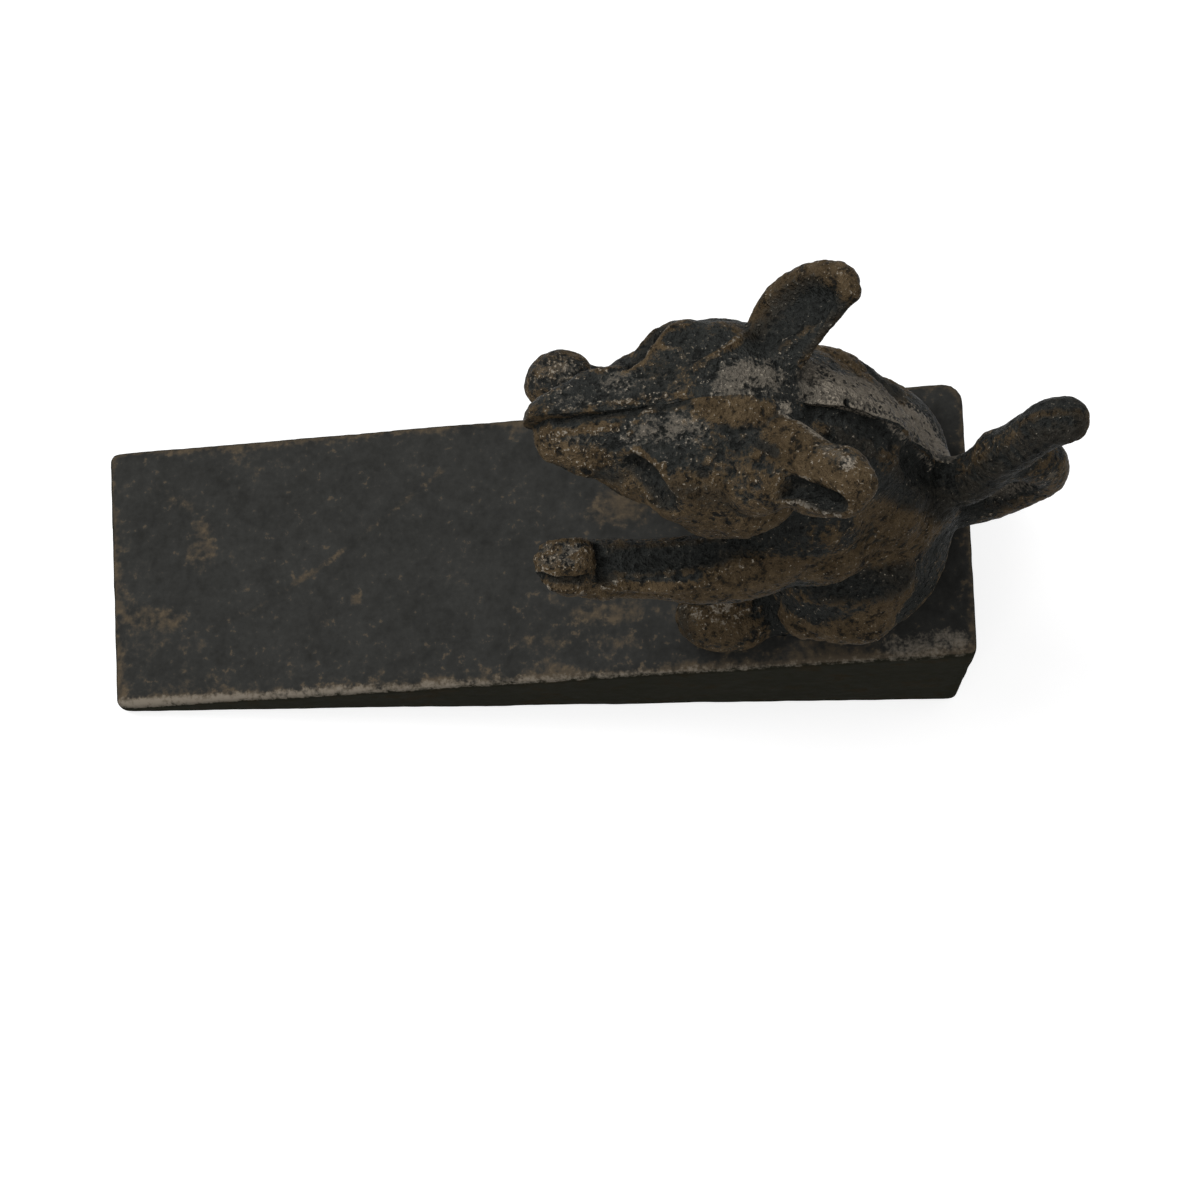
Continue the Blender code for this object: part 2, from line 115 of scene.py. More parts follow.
# Flash left where the halves of the mould met, between the back and the tail.
FLASH = (
    (((13.0, 0.5, 35.8), 0.8), ((16.5, 0.5, 35.0), 0.7), ((19.2, 0.4, 37.6), 0.8),
     ((21.0, 0.3, 40.6), 1.0)),
    (((13.0, -1.3, 34.2), 0.8), ((16.8, -1.3, 33.4), 0.7), ((19.6, -1.0, 35.8), 0.8),
     ((21.4, -0.6, 39.6), 1.0)),
)
# An ear is a leaf with a rolled rim; the two were cast differently.
EAR_ALONG = (0.644, 0.428, 0.634)        # from root to tip
EAR_OUT = (-0.720, 0.058, 0.692)         # out of the hollow
RIGHT_EAR = (
    (((-11.4, 11.2, 65.0), (12.6, 5.8, 2.6)), ((-13.4, 9.4, 64.0), (6.5, 5.5, 3.0))),
    ((((-19.5, 9.5, 60.2), 1.2), ((-16.3, 11.8, 62.0), 1.5), ((-14.6, 14.4, 63.4), 1.7),
      ((-12.8, 16.0, 65.2), 1.9), ((-10.6, 16.9, 67.4), 2.1), ((-8.5, 17.0, 69.6), 2.2),
      ((-6.2, 16.4, 72.2), 2.2), ((-4.4, 15.0, 74.3), 2.2), ((-3.8, 12.8, 75.0), 1.9)),
     (((-3.8, 12.8, 75.0), 1.9), ((-5.1, 10.8, 73.4), 1.1), ((-7.0, 8.7, 70.9), 0.9),
      ((-8.8, 6.9, 68.6), 0.9), ((-10.6, 5.6, 66.4), 1.4), ((-12.6, 4.6, 64.6), 2.4))),
)
LEFT_EAR = (
    (((-8.8, 12.4, 67.2), (10.0, 4.6, 2.6)), ((-16.0, 9.0, 63.4), (7.0, 7.0, 5.0))),
    ((((-14.6, 4.2, 64.6), 3.0), ((-12.0, 6.4, 66.6), 3.4), ((-10.0, 8.9, 68.4), 3.5),
      ((-7.6, 11.2, 70.8), 3.5), ((-5.4, 12.6, 73.0), 3.5), ((-4.0, 14.9, 74.2), 3.3)),
     (((-4.0, 14.9, 74.2), 3.3), ((-4.6, 17.3, 73.4), 1.9), ((-6.6, 17.6, 71.6), 1.2),
      ((-9.1, 16.3, 69.4), 1.0), ((-11.2, 15.0, 67.4), 1.0), ((-13.8, 14.0, 65.0), 1.3))),
)

# ---------------------------------------------------------------- brush strokes
# tool, casting, radius, amount, path.  Amounts are heights, or a shift for "move".
STROKES = (
    # set of the two castings
    ("move", "right", 9.0, (0.0, -2.2, -0.6), ((-35.0, 15.0, 31.0), (-24.0, 15.6, 31.0))),
    ("move", "right", 7.0, (-1.8, 0.0, 0.0), ((-47.0, 13.0, 34.0),)),
    ("move", "left", 4.5, (0.0, 1.0, 0.0), ((-44.5, 10.6, 36.5),)),
    ("move", "left", 4.5, (0.4, 1.0, -0.2), ((-43.0, 19.2, 34.0), (-38.5, 19.4, 32.5))),
    ("move", "left", 5.0, (0.4, 1.3, 0.0), ((-17.0, 15.5, 55.5), (-13.0, 14.0, 56.0))),
    ("move", "right", 4.0, (0.6, -0.2, 0.0), ((-49.6, 14.6, 35.8),)),
    ("move", "right", 4.0, (0.6, -1.2, 0.0), ((-48.6, 11.4, 35.4),)),
    ("move", "right", 3.4, (-0.8, -0.4, 0.0), ((-41.5, 17.0, 38.4),)),
    ("move", "right", 4.5, (0.0, 1.4, 0.3), ((-43.1, 3.6, 60.2), (-40.0, 6.0, 59.6))),
    ("move", "left", 6.5, (-0.4, 1.9, -0.2), ((-45.8, 3.0, 57.2), (-43.5, 4.4, 57.2),
                                              (-41.5, 5.6, 57.2))),
    ("move", "right", 8.5, (0.0, -1.8, -1.4), ((-6.5, 13.0, 50.0), (-3.0, 14.0, 47.0))),
    ("raise", "right", 8.0, 1.1, ((5.0, 15.5, 37.5), (9.0, 14.0, 31.0))),
    ("move", "right", 13.0, (-1.8, -0.2, 0.0), ((9.0, 17.0, 22.0), (11.0, 14.0, 26.0))),
    ("move", "right", 9.0, (0.8, 2.6, 0.0), ((0.0, 18.0, 24.0),)),
    ("move", "right", 9.0, (-1.2, -0.8, 0.0), ((16.0, 7.0, 26.0),)),
    ("move", "left", 9.0, (1.6, -0.2, -1.4), ((-48.0, 1.0, 58.0),)),
    ("move", "right", 14.0, (-0.6, -1.6, 0.0),
     ((2.0, 9.0, 54.0), (10.0, 9.0, 40.0), (15.0, 9.0, 28.0))),
    ("move", "left", 10.0, (0.8, 1.2, 0.0), ((12.0, 12.0, 36.0),)),
    ("move", "left", 10.0, (-2.8, -0.6, 0.0), ((17.0, 13.0, 23.0), (15.0, 17.0, 18.0))),
    # groove along the snout, with a proud right rim and a beaded left lip
    ("raise", "right", 1.8, 0.45, ((-48.0, 0.8, 59.5), (-43.5, 0.7, 61.3), (-37.5, 1.0, 62.8),
                                   (-30.5, 1.2, 65.2), (-26.0, 1.1, 67.0))),
    ("carve", "left", 2.0, 1.3, ((-47.0, 0.2, 57.5), (-43.5, 0.2, 60.4), (-38.5, 0.2, 62.0),
                                 (-33.5, 0.2, 64.0))),
    ("carve", "both", 1.1, 0.6, ((-40.0, 0.1, 62.0), (-33.5, 0.1, 64.3), (-28.0, 0.1, 66.2),
                                 (-21.0, 0.1, 68.3))),
    ("raise", "left", 0.8, 0.55, ((-46.0, 0.9, 57.6), (-42.0, 0.9, 60.2), (-36.0, 0.9, 62.6),
                                  (-31.0, 0.9, 64.8))),
    ("raise", "left", 1.0, 0.4, ((-46.5, 2.2, 57.8), (-43.5, 2.4, 60.0), (-39.5, 2.6, 61.8),
                                 (-36.0, 2.6, 63.1))),
    ("raise", "left", 0.9, 0.5, ((-36.0, 3.0, 63.0),)),
    ("raise", "left", 0.9, 0.5, ((-34.2, 3.7, 63.4),)),
    # eyes, brows and cheeks
    ("carve", "both", 3.4, 1.1, ((-34.2, 8.8, 60.6), (-31.4, 10.6, 61.2), (-28.8, 12.8, 61.0))),
    ("carve", "both", 1.9, 1.7, ((-33.4, 7.2, 61.0), (-31.7, 8.7, 61.2), (-30.5, 10.2, 61.4),
                                 (-29.2, 12.2, 60.8))),
    ("raise", "both", 1.1, 0.5, ((-32.6, 10.2, 58.8), (-30.0, 13.0, 59.2))),
    ("raise", "both", 1.8, 0.6, ((-32.6, 6.4, 63.0), (-30.0, 9.0, 63.8), (-28.2, 11.6, 63.0))),
    ("raise", "both", 4.0, 0.6, ((-26.0, 12.0, 63.6), (-21.0, 12.6, 63.4))),
    ("carve", "both", 1.0, 0.4, ((-28.5, 10.4, 64.4), (-26.0, 10.4, 64.6), (-23.9, 10.4, 64.8))),
    ("raise", "right", 1.6, 0.7, ((-38.0, 6.5, 60.6), (-34.3, 8.6, 60.8), (-31.6, 9.0, 62.4),
                                  (-29.5, 8.4, 64.2), (-26.5, 8.0, 65.2))),
    ("raise", "both", 3.2, 0.5, ((-40.5, 6.0, 58.2),)),
    ("carve", "both", 1.1, 0.7, ((-46.2, 3.6, 54.6), (-42.0, 5.4, 55.4), (-38.5, 6.9, 56.4),
                                 (-35.5, 8.4, 56.8))),
    ("carve", "both", 0.9, 0.7, ((-47.6, 3.0, 57.4),)),
    # ears
    ("raise", "right", 1.3, 0.8, ((-24.6, 4.8, 67.3), (-22.4, 5.8, 67.6), (-19.6, 8.0, 67.2),
                                  (-18.0, 10.0, 66.0), (-16.6, 12.2, 64.8))),
    ("carve", "right", 4.4, 1.9, ((-13.6, 10.6, 66.4), (-11.0, 12.2, 68.6), (-8.8, 12.6, 70.8))),
    ("carve", "left", 2.1, 2.2, ((-14.4, 13.0, 65.4), (-12.4, 13.2, 67.4), (-10.2, 14.0, 69.8),
                                 (-8.0, 16.0, 71.8), (-6.4, 17.2, 74.0))),
    ("carve", "left", 1.3, 1.0, ((-15.2, 13.2, 64.6), (-12.2, 13.6, 67.0), (-9.8, 14.8, 69.4),
                                 (-7.6, 16.6, 71.4))),
    # arms and paws
    ("carve", "both", 2.8, 1.3, ((-37.5, 14.4, 35.2), (-34.0, 14.4, 34.8), (-28.0, 14.3, 35.0),
                                 (-22.0, 14.2, 36.8))),
    ("carve", "both", 2.5, 0.5, ((-22.0, 14.2, 36.8), (-17.0, 13.6, 40.0))),
    ("raise", "both", 1.4, 0.7, ((-37.5, 18.2, 33.4), (-32.3, 18.8, 32.6), (-27.7, 19.0, 33.2),
                                 (-24.0, 19.0, 34.4), (-21.0, 17.8, 36.6), (-18.8, 16.8, 38.2),
                                 (-14.0, 16.2, 41.0))),
    ("carve", "both", 1.9, 1.6, ((-38.2, 13.2, 35.5), (-37.8, 15.4, 35.3), (-37.5, 17.2, 34.4))),
    ("carve", "left", 1.3, 1.5, ((-48.2, 17.2, 33.8), (-46.6, 17.6, 36.2), (-43.8, 18.3, 36.8),
                                 (-41.0, 18.4, 36.4))),
    ("raise", "left", 0.9, 0.5, ((-46.6, 18.8, 34.8), (-44.0, 19.4, 35.2), (-41.0, 19.4, 35.0))),
    ("raise", "left", 1.2, 0.6, ((-46.5, 12.4, 37.6), (-43.6, 12.0, 38.8), (-40.4, 12.0, 38.4))),
    ("carve", "left", 1.2, 0.45, ((-48.6, 15.4, 33.5), (-48.0, 15.4, 36.8), (-45.6, 15.8, 38.6),
                                 (-43.2, 16.0, 39.0))),
    ("carve", "both", 1.2, 0.4, ((-48.6, 13.2, 33.5), (-48.0, 13.0, 36.5), (-46.0, 13.0, 38.0))),
    ("raise", "both", 2.6, 0.8, ((-3.0, 15.6, 35.0), (0.5, 14.6, 35.6))),
    # thighs and feet
    ("carve", "both", 4.6, 1.3, ((-8.0, 15.6, 23.0), (-0.9, 16.9, 26.4), (5.0, 16.7, 27.4),
                                 (11.0, 14.0, 28.0))),
    ("carve", "both", 2.2, 0.7, ((-9.0, 15.4, 23.0), (-0.9, 16.4, 27.4), (5.0, 16.2, 28.6))),
    ("raise", "both", 6.5, 2.4, ((-5.0, 18.6, 11.0), (0.0, 20.0, 13.0), (5.0, 20.0, 14.5))),
    ("carve", "both", 2.2, 1.3, ((-10.0, 15.0, 12.0), (-9.5, 16.0, 6.0), (-9.0, 17.0, 3.5))),
    ("carve", "both", 0.8, 0.9, ((-25.2, 13.4, 1.0), (-23.0, 13.6, 4.2), (-19.5, 13.8, 5.4))),
    ("carve", "both", 0.8, 0.9, ((-24.6, 17.0, 1.0), (-22.4, 17.2, 3.8), (-19.0, 17.2, 4.8))),
    # back: the right casting stands proud of the left
    ("raise", "right", 4.0, 0.45, ((-6.0, 1.0, 63.8), (-2.4, 0.8, 62.0), (1.6, 0.8, 58.0),
                                  (5.7, 0.8, 53.0), (10.0, 0.8, 43.0), (13.3, 0.8, 34.5))),
    ("carve", "left", 3.4, 1.4, ((-7.0, 1.0, 64.0), (-4.0, 1.2, 63.0), (0.0, 1.3, 59.5),
                                 (3.5, 2.2, 56.0), (6.5, 3.0, 51.0), (9.0, 3.0, 44.5),
                                 (11.5, 2.4, 39.0))),
    ("raise", "left", 1.5, 0.7, ((2.6, 0.2, 57.0), (5.0, 0.6, 53.8), (7.6, 0.8, 49.6),
                                 (10.0, 0.8, 43.4), (12.4, 0.5, 36.8))),
    ("raise", "left", 1.3, 0.6, ((0.2, 5.2, 58.0), (2.1, 5.1, 56.4), (6.8, 4.2, 50.0),
                                 (10.5, 3.0, 42.0), (12.2, 2.2, 38.5))),
    ("raise", "left", 1.2, 1.0, ((-7.2, 2.4, 64.0), (-6.2, 3.4, 63.4))),
    ("raise", "left", 1.0, 0.9, ((-5.0, 2.0, 63.0), (-4.2, 3.0, 62.4))),
    ("carve", "right", 0.7, 1.6, ((-3.2, 0.6, 62.8),)),
    # blow holes in the top of the head
    ("carve", "left", 1.1, 0.5, ((-21.2, 4.6, 68.2), (-20.0, 5.4, 68.0))),
    ("carve", "left", 1.0, 0.5, ((-18.6, 4.8, 68.4),)),
    ("carve", "left", 1.3, 0.6, ((-16.8, 6.8, 68.8), (-14.8, 8.1, 69.2))),
    ("carve", "left", 1.0, 0.5, ((-23.6, 6.6, 67.6),)),
    ("carve", "left", 1.1, 0.5, ((-21.8, 8.1, 66.9),)),
    # tail
    ("raise", "both", 1.1, 0.45, ((17.8, 0.3, 46.5), (19.2, 0.3, 50.0), (21.3, 0.3, 53.5),
                                  (23.8, 0.3, 57.0), (27.0, 0.3, 59.2), (31.0, 0.3, 58.8))),
    ("carve", "left", 0.7, 0.4, ((18.6, 3.6, 46.0), (20.6, 5.0, 44.8))),
    ("carve", "left", 0.7, 0.4, ((19.8, 2.6, 49.6), (22.2, 4.6, 48.4))),
    ("carve", "left", 0.7, 0.4, ((21.0, 2.2, 52.4), (23.6, 4.4, 51.0))),
    ("carve", "left", 0.7, 0.4, ((23.6, 1.6, 55.6), (25.4, 3.8, 53.6))),
    ("carve", "left", 0.6, 0.3, ((26.4, 1.4, 58.4), (27.6, 3.4, 56.8))),
)

# Rougher casting: casting, radius, path.
ROUGH = (
    ("left", 5.0, ((-27.0, 8.0, 66.0), (-22.0, 8.0, 67.0), (-16.0, 9.5, 66.5))),
    ("left", 3.5, ((-40.0, 6.0, 58.5), (-33.0, 11.5, 57.5))),
    ("right", 5.0, ((-14.0, 10.0, 66.0), (-8.5, 12.5, 70.0))),
    ("both", 5.0, ((-46.0, 14.5, 37.5), (-42.0, 15.0, 38.5))),
    ("right", 7.0, ((-3.0, 5.0, 60.0), (5.0, 6.0, 50.0), (11.0, 5.0, 40.0))),
    ("left", 4.0, ((1.0, 4.0, 57.0), (9.0, 4.0, 46.0))),
    ("both", 5.0, ((-22.0, 15.0, 4.5), (-16.0, 16.0, 4.5))),
    ("both", 9.0, ((-2.0, 15.0, 38.0), (6.0, 14.0, 33.0), (12.0, 10.0, 32.0))),
    ("both", 6.0, ((-3.0, 19.5, 11.0), (4.0, 20.5, 16.0), (9.0, 18.6, 21.0))),
)

# ---------------------------------------------------------------- painted wear, dust, shade and highlights
# For each painted layer: casting, radius, strength, path.
WEAR = {
    "rub": (        # worn through to brown
        ("left", 3.0, 1.0, ((-46.0, 3.4, 56.6), (-42.0, 5.2, 58.2), (-38.5, 6.2, 59.6))),
        ("right", 1.0, 1.0, ((-48.4, 0.3, 57.6), (-44.0, 0.3, 60.4), (-40.0, 0.3, 61.8))),
        ("right", 1.8, 0.9, ((-48.8, 1.6, 56.8),)),
        ("left", 3.4, 1.0, ((-27.0, 12.0, 64.0), (-22.2, 12.4, 63.9))),
        ("right", 5.0, 0.5, ((-30.0, 3.6, 64.4), (-26.0, 5.0, 66.4))),
        ("both", 5.0, 0.8, ((-31.0, 13.5, 57.0), (-25.0, 15.5, 54.0), (-18.0, 15.0, 54.0))),
        ("left", 7.0, 0.62, ((-40.0, 7.5, 57.0), (-30.0, 12.5, 57.5), (-20.0, 14.0, 60.0),
                             (-14.0, 13.0, 62.0))),
        ("left", 4.5, 0.5, ((-24.0, 9.5, 66.0), (-18.0, 10.0, 66.5))),
        ("left", 2.6, 0.9, ((-24.0, 1.4, 68.0), (-20.8, 2.2, 68.8), (-15.4, 2.8, 68.2),
                            (-13.3, 4.5, 68.5))),
        ("left", 4.4, 1.0, ((-13.0, 7.5, 69.5), (-10.5, 9.5, 72.0), (-8.5, 12.0, 74.0),
                            (-5.5, 14.5, 75.5))),
        ("left", 1.8, 0.9, ((-12.5, 15.5, 66.8), (-8.8, 18.3, 70.5), (-5.3, 19.6, 73.0))),
        ("right", 3.0, 1.0, ((-17.0, 11.6, 63.7), (-13.3, 16.4, 67.5), (-9.0, 17.6, 72.1),
                             (-6.5, 16.4, 74.9), (-3.5, 13.4, 76.7))),
        ("right", 0.9, 0.6, ((-6.6, 12.2, 71.8), (-8.6, 10.2, 69.8), (-10.0, 9.0, 68.4))),
        ("right", 1.0, 1.0, ((-24.6, 4.8, 67.4), (-19.6, 8.0, 67.6), (-16.6, 12.2, 65.2))),
        ("both", 1.5, 1.0, ((-37.5, 18.2, 33.6), (-32.3, 18.9, 32.8), (-27.7, 19.3, 33.6),
                            (-24.0, 19.3, 34.6))),
        ("both", 3.8, 1.0, ((-20.0, 18.0, 36.8), (-14.4, 18.2, 39.5), (-8.5, 18.2, 40.7),
                            (-3.0, 16.4, 39.0))),
        ("both", 4.4, 0.7, ((-46.0, 15.0, 38.5), (-43.0, 17.8, 36.5))),
        ("both", 5.4, 0.9, ((-22.0, 16.0, 4.5), (-17.0, 17.5, 4.5))),
        ("both", 4.5, 1.0, ((-6.0, 19.5, 10.5), (-1.0, 20.5, 12.0), (3.0, 21.0, 17.0),
                            (7.0, 20.4, 20.5), (10.0, 18.6, 22.0))),
        ("both", 8.0, 1.0, ((0.0, 15.0, 38.0), (5.0, 14.0, 34.0), (9.5, 13.0, 31.0),
                            (13.0, 10.0, 32.0))),
        ("left", 4.5, 0.95, ((2.5, 12.0, 46.5), (6.9, 12.0, 40.4), (10.9, 11.5, 33.5),
                             (13.5, 10.5, 27.0))),
        ("left", 1.6, 0.9, ((5.0, 3.6, 53.6), (7.6, 3.0, 49.4))),
        ("left", 1.2, 0.9, ((3.6, 6.0, 52.6), (8.4, 5.2, 45.6))),
        ("left", 1.6, 0.8, ((-7.2, 2.4, 64.4), (-6.2, 3.4, 63.8))),
        ("both", 3.2, 0.85, ((-42.0, 19.4, 32.0), (-36.0, 19.6, 31.0), (-30.0, 19.9, 30.5),
                             (-20.0, 20.2, 33.5), (-12.0, 19.5, 37.0))),
        ("left", 5.0, 0.8, ((-26.0, 16.5, 56.5), (-19.0, 16.5, 56.0), (-13.0, 14.5, 57.0))),
    ),
    "bare": (       # pale bare edges, with painted highlight on the right back and the toes
        # bare wear and painted highlight on the toes
        ("both", 3.6, 0.5, ((-22.0, 15.0, 4.8), (-17.0, 16.5, 4.8))),
        ("left", 1.8, 0.85, ((-12.4, 1.2, 67.2), (-10.6, 3.4, 68.0), (-9.0, 5.4, 69.2),
                             (-7.4, 7.2, 71.0))),
        ("left", 1.5, 0.9, ((-5.3, 12.7, 76.6),)),
        # bare wear and painted highlight on the right back
        ("right", 5.0, 0.9, ((-4.0, 5.0, 62.0), (2.0, 6.5, 55.0), (8.0, 6.0, 45.0),
                             (12.5, 5.0, 36.0))),
        ("right", 5.0, 1.0, ((9.0, 9.5, 36.0), (12.5, 10.5, 27.0), (14.5, 9.0, 23.5),
                             (16.4, 6.0, 22.5))),
        ("right", 3.0, 0.8, ((-0.8, 3.0, 59.6), (2.4, 2.5, 57.0), (6.0, 2.6, 52.0),
                             (9.6, 3.2, 42.1), (13.0, 3.5, 34.0))),
        ("left", 1.0, 0.7, ((2.6, 0.4, 57.4), (5.0, 1.0, 54.0), (7.6, 1.3, 49.8),
                            (10.0, 1.3, 43.6), (12.4, 1.0, 37.0))),
        ("both", 3.0, 0.4, ((-46.5, 15.0, 38.0), (-42.5, 15.5, 38.5))),
        # bare wear and painted highlight on the toes
        ("both", 2.6, 0.6, ((-20.5, 14.6, 5.4), (-17.0, 15.2, 5.8))),
        ("right", 0.6, 0.7, ((-48.0, 0.8, 60.0), (-43.5, 0.7, 61.8))),
        ("right", 0.5, 0.5, ((-43.5, 0.7, 61.8), (-37.5, 1.0, 63.2), (-30.5, 1.0, 65.6),
                             (-26.0, 0.9, 67.2))),
        ("left", 0.6, 0.6, ((-46.5, 2.2, 58.2), (-43.5, 2.4, 60.4), (-39.5, 2.6, 62.0),
                            (-36.0, 2.6, 63.4))),
        ("left", 2.2, 0.35, ((-45.0, 3.4, 58.0), (-38.5, 5.8, 59.8))),
        ("both", 0.7, 0.5, ((-37.5, 17.6, 34.2), (-32.3, 18.0, 33.8), (-27.7, 18.0, 34.8),
                            (-23.0, 17.4, 36.2))),
        ("right", 0.7, 1.0, ((-7.0, 0.2, 64.4), (-3.3, 0.2, 63.2), (1.6, 0.2, 58.6),
                             (5.7, 0.2, 53.6), (10.0, 0.2, 43.6), (14.0, 0.2, 34.5))),
    ),
    "dust": (       # settled dust, with painted highlight on the right back and the tail
        ("left", 3.6, 0.55, ((-31.0, 3.4, 64.6), (-26.0, 4.2, 66.6))),
        ("left", 5.0, 0.35, ((-44.0, 4.4, 58.0), (-34.0, 9.0, 62.0), (-26.0, 8.0, 66.0))),
        # settled dust and painted highlight on the right back
        ("right", 8.0, 1.0, ((-5.5, 3.3, 63.0), (-2.5, 4.0, 61.0), (1.8, 5.0, 56.0),
                             (7.0, 6.0, 46.0), (12.4, 5.0, 36.0), (14.5, 3.5, 31.0))),
        ("right", 5.0, 1.0, ((4.0, 10.0, 44.0), (9.0, 9.0, 38.0), (13.0, 6.5, 34.0),
                             (15.5, 4.0, 30.0))),
        ("left", 2.2, 0.9, ((-8.0, 10.0, 73.8), (-5.0, 12.4, 75.9))),
        ("right", 4.0, 0.85, ((-20.0, 1.8, 68.6), (-14.0, 3.0, 68.0))),
        ("right", 4.0, 0.42, ((-43.0, 3.0, 60.5), (-38.4, 3.0, 62.2), (-30.0, 2.5, 65.0))),
        ("right", 4.0, 0.4, ((-27.0, 7.0, 66.0), (-21.5, 4.8, 67.9))),
        ("left", 3.0, 0.6, ((-34.0, 4.0, 63.0),)),
        ("both", 3.0, 0.7, ((-46.0, 14.5, 38.0), (-42.5, 14.5, 38.5))),
        # dust and painted highlight on the tail's lower bar
        ("left", 1.6, 0.8, ((21.4, 1.8, 24.0), (25.3, 1.9, 25.3), (28.0, 1.6, 28.6),
                            (30.4, 2.4, 34.0), (30.6, 3.0, 38.0))),
    ),
    "soot": (       # painted shade in hollows, creases and under parts, with some soot and old paint
        ("left", 2.6, 0.55, ((-28.0, 12.1, 63.8), (-24.6, 12.5, 63.4), (-21.4, 12.9, 62.9))),
        ("both", 2.6, 0.7, ((-24.6, 15.0, 3.0), (-23.6, 18.4, 2.0))),
        ("both", 2.4, 1.0, ((-33.4, 7.2, 60.6), (-31.7, 8.7, 60.6), (-30.5, 10.2, 60.6),
                            (-29.2, 12.2, 60.0))),
        ("left", 0.9, 1.0, ((-21.2, 4.6, 68.0), (-20.0, 5.4, 67.8))),
        ("left", 0.8, 1.0, ((-18.6, 4.8, 68.2),)),
        ("left", 1.0, 1.0, ((-16.8, 6.8, 68.6), (-14.8, 8.1, 69.0))),
        ("left", 0.8, 1.0, ((-23.6, 6.6, 67.4),)),
        ("left", 0.9, 1.0, ((-21.8, 8.1, 66.7),)),
        ("left", 2.0, 0.8, ((-42.0, 5.4, 56.4), (-38.5, 6.9, 57.6), (-36.0, 8.2, 58.0))),
        ("left", 3.4, 0.35, ((-22.0, 5.8, 67.8), (-17.6, 7.0, 67.4), (-15.0, 8.0, 66.8))),
        ("right", 4.6, 1.0, ((-14.5, 9.6, 65.6), (-11.0, 13.0, 68.0), (-8.4, 13.4, 70.6))),
        ("left", 2.2, 1.0, ((-14.0, 13.0, 64.8), (-12.0, 13.4, 67.0), (-9.9, 14.6, 69.0),
                            (-7.8, 16.4, 71.0), (-6.3, 17.3, 73.4))),
        ("right", 1.8, 0.8, ((-4.8, 11.0, 74.4), (-7.0, 8.7, 71.8), (-9.2, 6.8, 69.4))),
        ("left", 0.8, 0.9, ((-46.6, 17.6, 35.8), (-43.8, 18.2, 36.2), (-41.0, 18.3, 35.9))),
        ("left", 1.1, 1.0, ((-46.0, 0.5, 58.3), (-40.0, 0.5, 61.2), (-33.5, 0.4, 63.7),
                            (-26.0, 0.3, 66.6))),
        ("left", 4.0, 0.7, ((-20.0, 13.5, 38.5), (-13.0, 12.0, 42.0), (-6.0, 12.0, 45.0))),
        ("left", 3.6, 1.0, ((4.0, 6.6, 50.0), (8.0, 6.6, 43.0), (12.5, 5.6, 36.0),
                            (16.0, 5.6, 29.0))),
        ("left", 4.0, 1.0, ((14.0, 5.0, 31.0), (18.6, 6.0, 31.0), (21.6, 5.5, 37.0))),
        ("left", 3.2, 0.9, ((-4.6, 4.4, 62.6), (-2.7, 4.6, 61.4), (0.4, 5.2, 58.0))),
        ("both", 4.0, 0.9, ((24.0, 3.2, 56.4), (30.0, 2.0, 58.0))),
        ("both", 2.6, 0.7, ((16.0, 3.0, 20.0), (20.0, 2.4, 21.0))),
        # painted shadows: in the arm's trough, behind the paw, and on the thigh under the arm
        ("both", 3.6, 0.9, ((-38.0, 14.4, 34.5), (-28.0, 14.3, 33.8), (-20.0, 14.0, 37.6))),
        ("both", 2.4, 1.0, ((-38.2, 13.2, 34.5), (-37.6, 16.6, 33.8))),
        ("both", 4.2, 0.9, ((-4.0, 16.4, 24.0), (2.0, 16.6, 25.6), (8.5, 15.8, 25.6))),
        ("left", 4.0, 1.0, ((16.0, 6.0, 33.0), (19.6, 5.4, 40.0), (21.0, 5.0, 45.0),
                            (23.2, 4.8, 51.0), (27.4, 3.6, 56.0))),
        ("left", 2.6, 0.8, ((19.6, 3.4, 21.4), (22.6, 4.0, 21.6), (26.0, 3.6, 25.6))),
    ),
}


# ---------------------------------------------------------------- settings
def length_setting(name, description, default, low, high):
    """A length in metres that can be set."""
    return FloatProperty(name=name, description=description, default=default, min=low, max=high,
                         precision=5, subtype="DISTANCE", unit="LENGTH")


def passes_setting(name, description, default):
    """A number of smoothing passes that can be set."""
    return IntProperty(name=name, description=description, default=default, min=0)


def colour_setting(name, description, default):
    """A colour that can be set."""
    return FloatVectorProperty(name=name, description=description, default=default,
                               subtype="COLOR", size=3, min=0, max=1)


def power_setting(name, description, default):
    """The power of a lamp in watts, which can be set."""
    return FloatProperty(name=name, description=description, default=default, unit="POWER")


class WedgeSettings(bpy.types.PropertyGroup):
    grid: length_setting(
        "Grid", "Edge length of the wedge's surface mesh", 0.00066, 0.0003, 0.003)
    swell: length_setting(
        "Swell", "How far the cast faces wander off flat", 0.00014, 0.0, 0.001)
    soften: passes_setting("Soften", "Smoothing passes that round the edges", 4)


class MouseSettings(bpy.types.PropertyGroup):
    grid: length_setting(
        "Grid", "Edge length of the mouse's surface mesh", 0.00038, 0.0003, 0.003)
    soften: passes_setting("Soften", "Smoothing passes on the finished skin", 8)
    grain: length_setting("Grain", "Height of the cast grain", 0.00008, 0.0, 0.001)


class FinishSettings(bpy.types.PropertyGroup):
    black: colour_setting(
        "Black iron", "Colour of the untouched oxide on the mouse", (0.0292, 0.0308, 0.0287))
    brown: colour_setting(
        "Brown rub", "Colour where the black has worn through", (0.089, 0.060, 0.030))
    # pale is also laid as painted glints, and with dust and bare wear as painted highlight on the
    # right back, tail and toes
    pale: colour_setting(
        "Pale wear", "Colour of bare edges and settled dust", (0.235, 0.205, 0.165))
    # greenish grime with painted shade, laid on the wedge's faces that don't face up
    grime_and_shade: colour_setting(
        "Grime and shade", "Greenish dirt on the sides and inside of the wedge",
        (0.0180, 0.0176, 0.0122))
    wedge: colour_setting(
        "Wedge iron", "Colour of the wedge's oxide", (0.0300, 0.0300, 0.0280))


